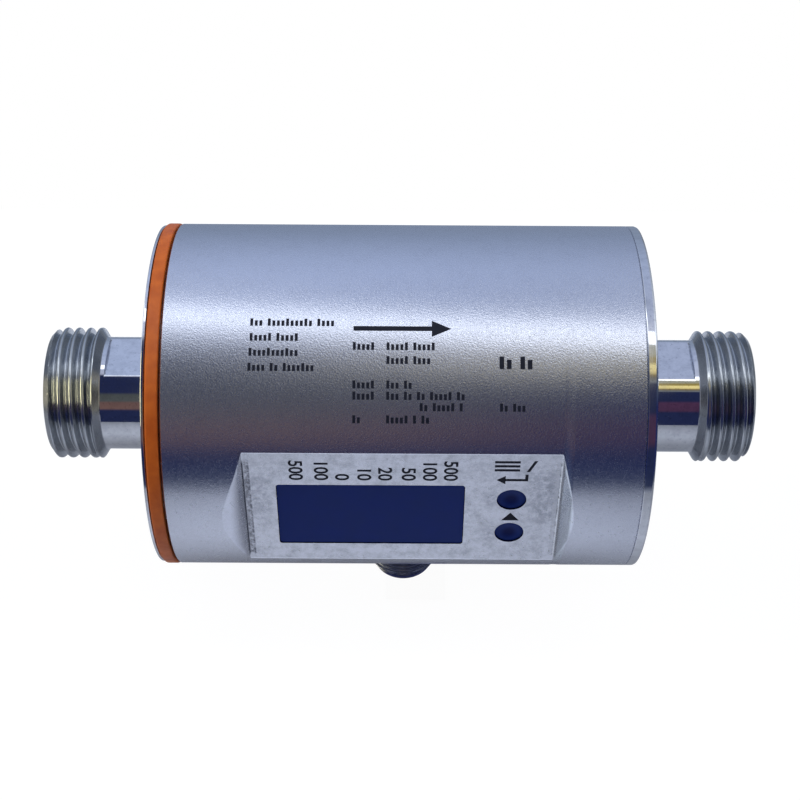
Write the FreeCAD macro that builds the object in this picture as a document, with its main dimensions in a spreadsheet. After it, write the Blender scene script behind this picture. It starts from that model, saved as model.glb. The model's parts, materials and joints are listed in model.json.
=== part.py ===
import FreeCAD, Part
import Sketcher
import math
import os
import re

# Electromagnetic flow meter. Millimetres. +X runs along the flow, from inlet to outlet, the display
# looks along -Y and the cable connector points along -Z. The origin is on the flow axis, half-way
# between the two pipe ends.

# Driving sizes
SIZES = {
    # Pipe ends: parallel pipe thread, neck with two wrench flats
    "overall_length": 110.0,
    "thread_radius": 10.4775,
    "thread_length": 7.6,
    "thread_chamfer": 0.9,
    "thread_shoulder": 1.0,
    "neck_radius": 8.95,
    "neck_land": 0.6,
    "wrench_flats": 15.8,
    "flow_radius": 6.5,
    # Shell and flanges
    "shell_radius": 27.0,
    "shell_wall": 2.0,
    "shell_inlet_end": 34.4,
    "shell_outlet_end": 35.6,
    "shell_edge": 0.15,
    "outlet_rim": 1.5,
    "rim_edge": 0.25,
    "lip_thickness": 0.45,
    "lip_step": 0.25,
    "ring_width": 1.9,
    "ring_gap": 0.3,
    "ring_proud": 0.05,
    "ring_edge": 0.25,
    "spigot_depth": 3.9,
    "spigot_clearance": 0.1,
    "flange_seal_section": 0.8,
    "seal_clearance": 0.05,
    # Display flat pressed into the shell
    "flat_depth": 2.73,
    "flat_left": 22.8,
    "flat_right": 23.7,
    "end_wall_slope": 55.0,
    "end_wall_foot": 0.5,
    "end_wall_lip": 2.0,
    "lip_lead": 0.15,
    # Window and the boards behind it
    "window_width": 27.9,
    "window_height": 13.2,
    "window_centre_x": -4.2,
    "window_centre_z": -1.55,
    "window_corner": 0.5,
    "window_clearance": 0.1,
    "window_recess": 0.15,
    "window_flange": 1.2,
    "window_flange_thickness": 0.8,
    "gasket_thickness": 0.3,
    "display_thickness": 1.2,
    "display_margin": 0.6,
    "display_board_thickness": 1.0,
    "display_board_margin": 2.0,
    "header_height": 2.0,
    "header_length": 14.0,
    "header_depth": 2.4,
    "board_thickness": 1.6,
    "board_half_length": 27.0,
    "board_wall_gap": 2.5,
    # Buttons and switches
    "button_radius": 2.125,
    "button_clearance": 0.25,
    "button_recess": 0.25,
    "button_x": 16.7,
    "mode_button_z": 1.98,
    "set_button_z": -5.4,
    "button_dish_depth": 0.3,
    "button_dish_radius": 5.0,
    "button_collar": 0.75,
    "button_collar_thickness": 0.7,
    "button_stem_radius": 1.1,
    "button_travel": 0.6,
    "switch_width": 4.5,
    "switch_height": 2.0,
    "plunger_radius": 0.8,
    "plunger_stand": 0.8,
    "plunger_depth": 0.7,
    "plunger_clearance": 0.3,
    # Flow tube
    "tube_wall": 2.0,
    "collar_radius": 9.5,
    "collar_length": 5.5,
    "socket_depth": 4.5,
    "tube_clearance": 0.1,
    "tube_seal_section": 0.65,
    # Electrodes, one on each side of the tube
    "electrode_boss_radius": 4.5,
    "electrode_boss_height": 12.5,
    "electrode_radius": 1.0,
    "electrode_head_radius": 2.1,
    "electrode_head_thickness": 1.0,
    "electrode_clearance": 0.05,
    "electrode_recess": 0.05,
    "electrode_seat": 8.8,
    "electrode_seal_thickness": 0.8,
    "electrode_nut_radius": 2.9,
    "electrode_nut_thickness": 1.8,
    "back_electrode_tail": 14.0,
    # Coils, above and below the tube, and the yoke around them
    "core_radius": 3.0,
    "core_gap": 0.05,
    "pole_gap": 0.4,
    "bobbin_wall": 0.6,
    "bobbin_clearance": 0.1,
    "coil_radius": 7.0,
    "coil_clearance": 0.1,
    "coil_top_gap": 0.3,
    "yoke_gap": 6.5,
    "yoke_thickness": 1.5,
    "yoke_half_length": 8.0,
    "yoke_opening": 140.0,
    # Brackets that carry the main board on the tube
    "bracket_x": 20.0,
    "bracket_length": 4.0,
    "bracket_radius": 11.0,
    "bracket_clearance": 0.1,
    "bracket_half_width": 6.0,
    # Cable connector
    "connector_x": 0.8,
    "connector_radius": 6.0,
    "connector_stand": 7.2,
    "connector_shank": 5.4,
    "connector_clearance": 0.1,
    "connector_chamfer": 0.7,
    "connector_chamfer_length": 1.4,
    "connector_tail": 0.25,
    "boss_radius": 8.0,
    "boss_stand": 6.2,
    "boss_edge": 0.4,
    "weld_gap": 0.05,
    "socket_radius": 4.35,
    "pin_socket_depth": 9.0,
    "insert_radius": 4.0,
    "insert_clearance": 0.05,
    "insert_head": 1.0,
    "insert_tail": 0.4,
    "pin_radius": 0.5,
    "pin_clearance": 0.05,
    "pin_circle": 2.5,
    "pin_recess": 1.4,
    "pin_tail": 1.0,
    "connector_seal_section": 0.4,
    "connector_seal_depth": 3.2,
    "nut_flats": 14.5,
    "nut_thickness": 1.6,
    "nut_gap": 0.1,
    # Leads
    "lead_radius": 0.6,
    "cable_radius": 0.8,
    "cable_gap": 0.25,
}
PIN_COUNT = 4
BEND_SHARE = 0.45
EDGE_TOLERANCE = 0.01
PARALLEL_TOLERANCE = 1e-6

# Sizes that follow from others
DERIVED = {
    "pipe_end": "overall_length / 2",
    "thread_foot": "pipe_end - thread_length",
    "neck_end": "thread_foot - thread_shoulder",
    "shell_bore": "shell_radius - shell_wall",
    "spigot_radius": "shell_bore - spigot_clearance",
    "ring_near": "shell_inlet_end + ring_gap",
    "ring_far": "ring_near + ring_width",
    "lip_near": "ring_far + ring_gap / 2",
    "inlet_face": "lip_near + lip_thickness",
    "outlet_face": "shell_outlet_end + outlet_rim",
    "inlet_spigot": "shell_inlet_end - spigot_depth",
    "outlet_spigot": "shell_outlet_end - spigot_depth",
    "flange_seal_radius": "shell_bore - seal_clearance - flange_seal_section",
    "flange_groove_radius": "flange_seal_radius - flange_seal_section - seal_clearance",
    "flange_groove_half": "flange_seal_section + 4 * seal_clearance",
    "tube_radius": "flow_radius + tube_wall",
    "socket_bore": "collar_radius + tube_clearance",
    "tube_seal_radius": "socket_bore - seal_clearance - tube_seal_section",
    "tube_groove_radius": "tube_seal_radius - tube_seal_section - seal_clearance",
    "tube_groove_half": "tube_seal_section + 4 * seal_clearance",
    "inlet_tube_end": "inlet_spigot + socket_depth",
    "outlet_tube_end": "outlet_spigot + socket_depth",
    "inlet_tube_seal_x": "inlet_tube_end - socket_depth / 2",
    "outlet_tube_seal_x": "outlet_tube_end - socket_depth / 2",
    "flat_height": "shell_radius - flat_depth",
    "flat_back": "flat_height - shell_wall",
    "wall_shift": "shell_wall * tan(end_wall_slope / 2)",
    "lip_height": "shell_radius + lip_lead",
    "lip_run": "(lip_height - flat_height) / tan(end_wall_slope)",
    "inner_run": "(shell_radius - flat_back) / tan(end_wall_slope)",
    "window_half": "window_width / 2",
    "window_half_height": "window_height / 2",
    "lens_half": "window_half - window_clearance",
    "lens_half_height": "window_half_height - window_clearance",
    "window_rim_half": "window_half + window_flange",
    "window_rim_half_height": "window_half_height + window_flange",
    "window_front": "flat_height - window_recess",
    "window_seat": "flat_back - gasket_thickness",
    "window_back": "window_seat - window_flange_thickness",
    "display_back": "window_back - display_thickness",
    "display_board_back": "display_back - display_board_thickness",
    "board_front": "display_board_back - header_height",
    "board_back": "board_front - board_thickness",
    "board_half_width": "sqrt(shell_bore ^ 2 - board_front ^ 2) - board_wall_gap",
    "button_top": "flat_height - button_recess",
    "button_collar_radius": "button_radius + button_collar",
    "button_collar_top": "flat_back - button_clearance",
    "button_collar_back": "button_collar_top - button_collar_thickness",
    "switch_top": "board_front + switch_height",
    "plunger_top": "switch_top + plunger_stand",
    "plunger_back": "switch_top - plunger_depth",
    "plunger_hole": "plunger_radius + plunger_clearance",
    "electrode_hole": "electrode_radius + electrode_clearance",
    "electrode_head_hole": "electrode_head_radius + electrode_clearance",
    "electrode_nut_hole": "electrode_nut_radius + electrode_clearance",
    "electrode_tip": "flow_radius + electrode_recess",
    "electrode_head_back": "electrode_seat + electrode_seal_thickness",
    "electrode_head_front": "electrode_head_back + electrode_head_thickness",
    "electrode_nut_front": "electrode_head_front + electrode_nut_thickness",
    "yoke_inner_radius": "shell_bore - yoke_gap - yoke_thickness",
    "pole_face": "tube_radius + pole_gap",
    "bobbin_bore": "core_radius + bobbin_clearance",
    "bobbin_radius": "bobbin_bore + bobbin_wall",
    "bobbin_top": "sqrt(yoke_inner_radius ^ 2 - coil_radius ^ 2) - coil_top_gap",
    "coil_bore": "bobbin_radius + coil_clearance",
    "coil_low": "pole_face + bobbin_wall + coil_clearance",
    "coil_high": "bobbin_top - bobbin_wall - coil_clearance",
    "bracket_bore": "tube_radius + bracket_clearance",
    "connector_hole": "connector_shank + connector_clearance",
    "boss_face": "shell_radius + boss_stand",
    "connector_end": "boss_face + connector_stand",
    "connector_rear": "nut_seat - nut_thickness - connector_tail",
    "connector_seat": "connector_end - pin_socket_depth",
    "connector_seal_place": "boss_face - connector_seal_depth",
    "connector_seal_radius": "connector_hole - seal_clearance - connector_seal_section",
    "connector_groove_radius": "connector_seal_radius - connector_seal_section - seal_clearance",
    "connector_groove_half": "connector_seal_section + 4 * seal_clearance",
    "insert_bore": "insert_radius + insert_clearance",
    "insert_rear": "connector_rear - insert_tail",
    "nut_corner": "nut_flats / 2 / cos(30)",
    "nut_seat": "sqrt(shell_bore ^ 2 - (nut_flats / 2) ^ 2) - nut_gap",
}

document = FreeCAD.newDocument("flow_meter")
sheet = document.addObject("Spreadsheet::Sheet", "sizes")
for row, (alias, number) in enumerate(SIZES.items(), start=1):
    cell = "B%d" % row
    sheet.set("A%d" % row, alias)
    sheet.set(cell, str(number))
    sheet.setAlias(cell, alias)
document.recompute()


def formula(text):
    """Spell out derived sizes and point the driving ones at their cells."""

    def spell(match):
        word = match.group(0)
        if word in DERIVED:
            return "(" + formula(DERIVED[word]) + ")"
        if word in SIZES:
            return "sizes." + word
        return word

    return re.sub(r"[a-z_]+", spell, text)


def value(text):
    return float(sheet.evalExpression(formula(text)))


def bind(thing, **formulas):
    """Tie properties to formulas; a double underscore stands for a dot."""
    for name, text in formulas.items():
        thing.setExpression(name.replace("__", "."), formula(text))
    return thing


def move(thing, x="0", y="0", z="0"):
    return bind(thing, Placement__Base__x=x, Placement__Base__y=y, Placement__Base__z=z)


# Ways to make a piece
def new_body(label):
    return document.addObject("PartDesign::Body", label)


def outline(body, plane, *loops):
    """A sketch of closed straight-sided loops, each corner tied to the sizes."""
    sketch = body.newObject("Sketcher::SketchObject", body.Name + "_outline")
    support = next(item for item in body.Origin.OriginFeatures if item.Role == plane)
    sketch.AttachmentSupport = [(support, "")]
    sketch.MapMode = "FlatFace"
    constraints = []
    bindings = []
    for loop in loops:
        first = sketch.GeometryCount
        count = len(loop)
        corners = [FreeCAD.Vector(value(across), value(up), 0) for across, up in loop]
        for i in range(count):
            sketch.addGeometry(Part.LineSegment(corners[i], corners[(i + 1) % count]))
        for i in range(count):
            line = first + i
            following = first + (i + 1) % count
            constraints.append(Sketcher.Constraint("Coincident", line, 2, following, 1))
            for kind, text, place in zip(("DistanceX", "DistanceY"), loop[i], corners[i]):
                bindings.append((len(constraints), text))
                constraints.append(Sketcher.Constraint(kind, -1, 1, line, 1, place))
    sketch.addConstraint(constraints)
    for index, text in bindings:
        sketch.setExpression("Constraints[%d]" % index, formula(text))
    return sketch


def rectangle(left, right, low, high):
    return [(left, low), (right, low), (right, high), (left, high)]


def turned(label, axis, section, angle="360"):
    """A body of revolution. Corners are (along X, radius), (radius, Y) or (radius, Z)."""
    body = new_body(label)
    plane = "XZ_Plane" if axis == "Z" else "XY_Plane"
    line = "H_Axis" if axis == "X" else "V_Axis"
    sketch = outline(body, plane, section)
    turn = body.newObject("PartDesign::Revolution", label + "_turn")
    turn.Profile = sketch
    turn.ReferenceAxis = (sketch, [line])
    bind(turn, Angle=angle)
    return body


def pad(body, sketch, length, symmetric=False):
    feature = body.newObject("PartDesign::Pad", body.Name + "_pad")
    feature.Profile = sketch
    if symmetric:
        feature.SideType = "Symmetric"
    return bind(feature, Length=length)


def front_pad(body, sides, back, front):
    """A slab seen from the display side, from one distance in front of the axis to another."""
    sketch = outline(body, "XZ_Plane", rectangle(*sides))
    bind(sketch, AttachmentOffset__Base__z=back)
    return pad(body, sketch, "%s - (%s)" % (front, back))


def slot_cut(body, length, *loops):
    """Cut loops drawn in the XZ plane through the body, to both sides of that plane."""
    feature = body.newObject("PartDesign::Pocket", body.Name + "_cut")
    feature.Profile = outline(body, "XZ_Plane", *loops)
    feature.SideType = "Symmetric"
    return bind(feature, Length=length)


def round_edges(body, base, radius, wanted):
    """Round the edges of the body's last feature that the test picks."""
    document.recompute()
    names = ["Edge%d" % (i + 1) for i, edge in enumerate(base.Shape.Edges) if wanted(edge)]
    feature = body.newObject("PartDesign::Fillet", body.Name + "_round")
    feature.Base = (base, names)
    return bind(feature, Radius=radius)


def runs_along(edge, direction):
    straight = edge.Curve.TypeId == "Part::GeomLine"
    return straight and edge.Curve.Direction.cross(direction).Length < PARALLEL_TOLERANCE


ALONG = {
    "X": FreeCAD.Rotation(FreeCAD.Vector(0, 1, 0), 90),
    "Y": FreeCAD.Rotation(FreeCAD.Vector(1, 0, 0), -90),
    "Z": FreeCAD.Rotation(),
}


def rod(label, axis, radius, length, x="0", y="0", z="0"):
    """A cylinder that runs from its foot along +X, +Y or +Z."""
    thing = document.addObject("Part::Cylinder", label)
    thing.Placement.Rotation = ALONG[axis]
    bind(thing, Radius=radius, Height=length)
    return move(thing, x, y, z)


def o_ring(label, axis, radius, section, x="0", y="0", z="0"):
    thing = document.addObject("Part::Torus", label)
    thing.Placement.Rotation = ALONG[axis]
    bind(thing, Radius1=radius, Radius2=section)
    return move(thing, x, y, z)


def block(label, left, right, front, back, low, high):
    """A box between two places along each axis; front is the lower Y."""
    thing = document.addObject("Part::Box", label)
    sides = {"Length": (left, right), "Width": (front, back), "Height": (low, high)}
    bind(thing, **{name: "%s - (%s)" % (far, near) for name, (near, far) in sides.items()})
    return move(thing, left, front, low)


def cut(label, base, *tools):
    tool = tools[0] if len(tools) == 1 else fuse(label + "_tools", *tools)
    thing = document.addObject("Part::Cut", label)
    thing.Base = base
    thing.Tool = tool
    return thing


def fuse(label, *pieces):
    thing = document.addObject("Part::MultiFuse", label)
    thing.Shapes = list(pieces)
    return thing


def common(label, *pieces):
    thing = document.addObject("Part::MultiCommon", label)
    thing.Shapes = list(pieces)
    return thing


def group(label, pieces):
    thing = document.addObject("Part::Compound", label)
    thing.Links = pieces
    return thing


def lead(label, radius, points):
    """A lead along straight runs joined by arcs, each of which takes a share of the shorter run."""
    places = [FreeCAD.Vector(*(value(text) for text in point)) for point in points]
    edges = []
    start = places[0]
    for before, corner, after in zip(places, places[1:], places[2:]):
        inward = (before - corner).normalize()
        outward = (after - corner).normalize()
        reach = BEND_SHARE * min(before.distanceToPoint(corner), after.distanceToPoint(corner))
        half_turn = (math.pi - inward.getAngle(outward)) / 2
        bend = reach / math.tan(half_turn)
        middle = (inward + outward).normalize()
        centre = corner + middle * (bend / math.cos(half_turn))
        entry = corner + inward * reach
        leave = corner + outward * reach
        edges.append(Part.LineSegment(start, entry).toShape())
        edges.append(Part.Arc(entry, centre - middle * bend, leave).toShape())
        start = leave
    edges.append(Part.LineSegment(start, places[-1]).toShape())
    path = Part.Wire(edges)
    ring = Part.Wire(Part.Circle(places[0], places[1] - places[0], value(radius)).toShape())
    thing = document.addObject("Part::Feature", label)
    thing.Shape = path.makePipeShell([ring], True, False)
    expected = math.pi * value(radius) ** 2 * path.Length
    assert abs(thing.Shape.Volume / expected - 1) < 0.01, label
    return thing


def around(middle, half):
    return "%s - %s" % (middle, half), "%s + %s" % (middle, half)


def window_sides(across, height):
    return around("window_centre_x", across) + around("window_centre_z", height)


# Shell: a tube with a flat pressed in for the display
def housing_shell():
    blank = turned("shell_blank", "X", [
        ("-shell_inlet_end", "flat_back - shell_wall"),
        ("shell_outlet_end", "flat_back - shell_wall"),
        ("shell_outlet_end", "shell_radius - shell_edge"),
        ("shell_outlet_end - shell_edge", "shell_radius"),
        ("shell_edge - shell_inlet_end", "shell_radius"),
        ("-shell_inlet_end", "shell_radius - shell_edge"),
    ])
    recess = new_body("recess_form")
    form = pad(recess, outline(recess, "XY_Plane", [
        ("-flat_left", "-flat_height"),
        ("flat_right", "-flat_height"),
        ("flat_right + lip_run", "-lip_height"),
        ("flat_right + lip_run + 2 * end_wall_lip", "-lip_height"),
        ("flat_right + lip_run + 2 * end_wall_lip", "-lip_height - end_wall_lip"),
        ("-flat_left - lip_run - 2 * end_wall_lip", "-lip_height - end_wall_lip"),
        ("-flat_left - lip_run - 2 * end_wall_lip", "-lip_height"),
        ("-flat_left - lip_run", "-lip_height"),
    ]), "2 * shell_radius", symmetric=True)
    upright = FreeCAD.Vector(0, 0, 1)
    foot = -value("flat_height")
    lip = -value("lip_height")
    lip_reach = value("flat_right + lip_run") + EDGE_TOLERANCE

    def at_foot(edge):
        return runs_along(edge, upright) and abs(edge.CenterOfMass.y - foot) < EDGE_TOLERANCE

    def at_lip(edge):
        near = abs(edge.CenterOfMass.y - lip) < EDGE_TOLERANCE
        return runs_along(edge, upright) and near and abs(edge.CenterOfMass.x) < lip_reach

    rounded = round_edges(recess, form, "end_wall_foot", at_foot)
    round_edges(recess, rounded, "end_wall_lip", at_lip)
    pressed = cut("shell_pressed", blank, recess)

    # The inside follows the outside, one wall further in
    backing = new_body("recess_backing")
    pad(backing, outline(backing, "XY_Plane", [
        ("-flat_left - wall_shift", "-flat_back"),
        ("flat_right + wall_shift", "-flat_back"),
        ("flat_right + wall_shift + inner_run", "-shell_radius"),
        ("-flat_left - wall_shift - inner_run", "-shell_radius"),
    ]), "2 * shell_radius", symmetric=True)
    bore = rod("shell_bore_tool", "X", "shell_bore", "shell_inlet_end + shell_outlet_end + 2 * shell_wall",
               x="-shell_inlet_end - shell_wall")
    cavity = cut("shell_cavity", bore, backing)

    window = new_body("window_hole")
    opening = front_pad(window, window_sides("window_half", "window_half_height"),
                        "flat_back - shell_wall", "flat_height + shell_wall")
    through = FreeCAD.Vector(0, 1, 0)
    round_edges(window, opening, "window_corner", lambda edge: runs_along(edge, through))
    holes = [
        rod(name + "_button_hole", "Y", "button_radius + button_clearance", "3 * shell_wall",
            x="button_x", y="-flat_height - shell_wall", z=name + "_button_z")
        for name in ("mode", "set")
    ]
    connector = rod("connector_hole_tool", "Z", "connector_hole", "3 * shell_wall",
                    x="connector_x", z="-shell_radius - shell_wall")
    return cut("housing_shell", pressed, cavity, window, *holes, connector)


# Ends: flange, neck and pipe thread turned in one piece
def pipe_end(side):
    """The run of the section from the flange's outer face to the pipe's end; side is the sign of X."""
    face = "inlet_face" if side == "-" else "outlet_face"
    return [
        (side + face, "neck_radius"),
        (side + "neck_end", "neck_radius"),
        (side + "thread_foot", "thread_radius"),
        (side + "(pipe_end - thread_chamfer)", "thread_radius"),
        (side + "pipe_end", "thread_radius - thread_chamfer"),
        (side + "pipe_end", "flow_radius"),
    ]


def seal_groove(side, middle, half, top, bottom):
    return [
        (side + "(%s - (%s))" % (middle, half), top),
        (side + "(%s - (%s))" % (middle, half), bottom),
        (side + "(%s + %s)" % (middle, half), bottom),
        (side + "(%s + %s)" % (middle, half), top),
    ]


def tube_socket(side, tube_end, spigot):
    return [
        (side + tube_end, "flow_radius"),
        (side + tube_end, "socket_bore"),
        (side + spigot, "socket_bore"),
        (side + spigot, "spigot_radius"),
    ]


def mill_wrench_flats(body, side, face):
    start = side + face
    end = side + "(neck_end - neck_land)"
    slot_cut(body, "4 * neck_radius",
             rectangle(start, end, "wrench_flats / 2", "2 * neck_radius"),
             rectangle(start, end, "-2 * neck_radius", "-wrench_flats / 2"))
    return body


def inlet_fitting():
    groove = seal_groove("-", "(shell_inlet_end - spigot_depth / 2)", "flange_groove_half",
                         "spigot_radius", "flange_groove_radius")
    body = turned("inlet_fitting", "X", tube_socket("-", "inlet_tube_end", "inlet_spigot") + groove + [
        ("-lip_near", "spigot_radius"),
        ("-lip_near", "shell_radius - lip_step"),
        ("rim_edge - inlet_face", "shell_radius - lip_step"),
        ("-inlet_face", "shell_radius - lip_step - rim_edge"),
    ] + pipe_end("-"))
    return mill_wrench_flats(body, "-", "inlet_face")


def outlet_fitting():
    groove = seal_groove("", "(shell_outlet_end - spigot_depth / 2)", "flange_groove_half",
                         "spigot_radius", "flange_groove_radius")
    body = turned("outlet_fitting", "X", tube_socket("", "outlet_tube_end", "outlet_spigot") + groove + [
        ("shell_outlet_end", "spigot_radius"),
        ("shell_outlet_end", "shell_radius - shell_edge"),
        ("shell_outlet_end + shell_edge", "shell_radius"),
        ("outlet_face - rim_edge", "shell_radius"),
        ("outlet_face", "shell_radius - rim_edge"),
    ] + pipe_end(""))
    return mill_wrench_flats(body, "", "outlet_face")


def accent_ring():
    return turned("accent_ring", "X", [
        ("-ring_near", "spigot_radius + spigot_clearance"),
        ("-ring_near", "shell_radius + ring_proud - ring_edge"),
        ("-ring_near - ring_edge", "shell_radius + ring_proud"),
        ("ring_edge - ring_far", "shell_radius + ring_proud"),
        ("-ring_far", "shell_radius + ring_proud - ring_edge"),
        ("-ring_far", "spigot_radius + spigot_clearance"),
    ])


def end_seals():
    return [
        o_ring("inlet_flange_seal", "X", "flange_seal_radius", "flange_seal_section",
               x="spigot_depth / 2 - shell_inlet_end"),
        o_ring("outlet_flange_seal", "X", "flange_seal_radius", "flange_seal_section",
               x="shell_outlet_end - spigot_depth / 2"),
        o_ring("inlet_tube_seal", "X", "tube_seal_radius", "tube_seal_section", x="-inlet_tube_seal_x"),
        o_ring("outlet_tube_seal", "X", "tube_seal_radius", "tube_seal_section", x="outlet_tube_seal_x"),
    ]


# Flow tube with a boss for each electrode
def flow_tube():
    def end_collar(side, end, seal):
        """The section's corners over one end collar, from the pipe end inwards."""
        half = "tube_groove_half"
        return [
            (side + end, "flow_radius"),
            (side + end, "collar_radius"),
        ] + seal_groove(side, seal, half, "collar_radius", "tube_groove_radius")[::-1] + [
            (side + "(%s - collar_length)" % end, "collar_radius"),
            (side + "(%s - collar_length)" % end, "tube_radius"),
        ]

    liner = turned("tube_liner", "X", end_collar("-", "inlet_tube_end", "inlet_tube_seal_x")
                   + end_collar("", "outlet_tube_end", "outlet_tube_seal_x")[::-1])
    bosses = rod("electrode_bosses", "Y", "electrode_boss_radius", "2 * electrode_boss_height",
                 y="-electrode_boss_height")
    passage = rod("tube_passage", "X", "flow_radius", "inlet_tube_end + outlet_tube_end",
                  x="-inlet_tube_end")
    shaft = rod("electrode_holes", "Y", "electrode_hole", "2 * electrode_boss_height",
                y="-electrode_boss_height")
    pockets = []
    for name, radius, floor in (("head", "electrode_head_hole", "electrode_seat"),
                                ("nut", "electrode_nut_hole", "electrode_head_front")):
        depth = "electrode_boss_height - " + floor
        pockets.append(rod("front_%s_pocket" % name, "Y", radius, depth, y="-electrode_boss_height"))
        pockets.append(rod("back_%s_pocket" % name, "Y", radius, depth, y=floor))
    return cut("flow_tube", fuse("tube_blank", liner, bosses), passage, shaft, *pockets)


def electrode_set(name, side, tail):
    """An electrode with its seal and clamping nut; side is the sign of Y."""
    electrode = turned(name + "_electrode", "Y", [
        ("0", side + "electrode_tip"),
        ("electrode_radius", side + "electrode_tip"),
        ("electrode_radius", side + "electrode_head_back"),
        ("electrode_head_radius", side + "electrode_head_back"),
        ("electrode_head_radius", side + "electrode_head_front"),
        ("electrode_radius", side + "electrode_head_front"),
        ("electrode_radius", side + tail),
        ("0", side + tail),
    ])
    seal = turned(name + "_electrode_seal", "Y", rectangle(
        "electrode_hole", "electrode_head_radius",
        side + "electrode_seat", side + "electrode_head_back"))
    nut = turned(name + "_electrode_nut", "Y", rectangle(
        "electrode_hole", "electrode_nut_radius",
        side + "electrode_head_front", side + "electrode_nut_front"))
    return [electrode, seal, nut]


# Field coils
def coil_set(name, side):
    """Pole core, bobbin and winding above or below the tube; side is the sign of Z."""
    reach = rod(name + "_yoke_bore", "X", "yoke_inner_radius - core_gap", "2 * yoke_half_length",
                x="-yoke_half_length")
    foot = "pole_face" if side == "" else "-yoke_inner_radius"
    stem = rod(name + "_core_stem", "Z", "core_radius", "yoke_inner_radius - pole_face", z=foot)
    core = common(name + "_pole_core", stem, reach)
    bobbin = turned(name + "_bobbin", "Z", [
        ("bobbin_bore", side + "pole_face"),
        ("coil_radius", side + "pole_face"),
        ("coil_radius", side + "(pole_face + bobbin_wall)"),
        ("bobbin_radius", side + "(pole_face + bobbin_wall)"),
        ("bobbin_radius", side + "(bobbin_top - bobbin_wall)"),
        ("coil_radius", side + "(bobbin_top - bobbin_wall)"),
        ("coil_radius", side + "bobbin_top"),
        ("bobbin_bore", side + "bobbin_top"),
    ])
    coil = turned(name + "_coil", "Z", rectangle(
        "coil_bore", "coil_radius", side + "coil_low", side + "coil_high"))
    return [core, bobbin, coil]


def yoke():
    """A strip bent round the coils, open towards the display."""
    body = turned("yoke", "X", rectangle(
        "-yoke_half_length", "yoke_half_length", "yoke_inner_radius", "yoke_inner_radius + yoke_thickness"),
        angle="360 - yoke_opening")
    body.Placement.Rotation = FreeCAD.Rotation(FreeCAD.Vector(1, 0, 0), 0)
    return bind(body, Placement__Rotation__Angle="yoke_opening / 2 - 180")


# Boards and display
def board_bracket(name, middle):
    left = "%s - bracket_length / 2" % middle
    right = "%s + bracket_length / 2" % middle
    clasp = rod(name + "_clasp", "X", "bracket_radius", "bracket_length", x=left)
    post = block(name + "_post", left, right, "-board_back", "-tube_radius",
                 "-bracket_half_width", "bracket_half_width")
    bore = rod(name + "_bracket_bore", "X", "bracket_bore", "bracket_length", x=left)
    return cut(name + "_board_bracket", fuse(name + "_bracket_blank", clasp, post), bore)


def board_stack():
    main = block("main_board", "-board_half_length", "board_half_length", "-board_front", "-board_back",
                 "-board_half_width", "board_half_width")
    header = block("board_header", *around("window_centre_x", "header_length / 2"),
                   "-display_board_back", "-board_front", *around("window_centre_z", "header_depth / 2"))
    slabs = []
    for label, margin, front, back in (
            ("display_board", "display_board_margin", "display_back", "display_board_back"),
            ("display_module", "display_margin", "window_back", "display_back")):
        across = "(window_half + %s)" % margin
        height = "(window_half_height + %s)" % margin
        slabs.append(block(label, *around("window_centre_x", across), "-" + front, "-" + back,
                           *around("window_centre_z", height)))
    return [main, header] + slabs


# Window and its gasket
def display_window():
    body = new_body("display_window")
    front_pad(body, window_sides("window_rim_half", "window_rim_half_height"), "window_back", "window_seat")
    lens = front_pad(body, window_sides("lens_half", "lens_half_height"), "window_seat", "window_front")
    through = FreeCAD.Vector(0, 1, 0)
    front_half = -(value("window_seat") + value("window_front")) / 2

    def beside_lens(edge):
        return runs_along(edge, through) and abs(edge.CenterOfMass.y - front_half) < EDGE_TOLERANCE

    round_edges(body, lens, "window_corner", beside_lens)
    return body


def window_gasket():
    body = new_body("window_gasket")
    front_pad(body, window_sides("window_rim_half", "window_rim_half_height"), "window_seat", "flat_back")
    slot_cut(body, "2 * flat_height", rectangle(*window_sides("window_half", "window_half_height")))
    return body


# Buttons and the switches under them
def push_button(name):
    height = name + "_button_z"
    cap = turned(name + "_button_cap", "Y", [
        ("0", "-button_top"),
        ("button_radius", "-button_top"),
        ("button_radius", "-button_collar_top"),
        ("button_collar_radius", "-button_collar_top"),
        ("button_collar_radius", "-button_collar_back"),
        ("button_stem_radius", "-button_collar_back"),
        ("button_stem_radius", "-plunger_top"),
        ("0", "-plunger_top"),
    ])
    move(cap, x="button_x", z=height)
    dish = document.addObject("Part::Sphere", name + "_button_dish")
    bind(dish, Radius="button_dish_radius")
    move(dish, x="button_x", y="button_dish_depth - button_top - button_dish_radius", z=height)
    button = cut(name + "_button", cap, dish)
    case = block(name + "_switch_case", *around("button_x", "switch_width / 2"),
                 "-switch_top", "-board_front", *around(height, "switch_width / 2"))
    well = rod(name + "_switch_well", "Y", "plunger_hole",
               "plunger_depth + button_travel + plunger_clearance", x="button_x", y="-switch_top", z=height)
    switch = cut(name + "_switch", case, well)
    plunger = rod(name + "_plunger", "Y", "plunger_radius", "plunger_top - plunger_back",
                  x="button_x", y="-plunger_top", z=height)
    return [button, switch, plunger]


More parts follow.
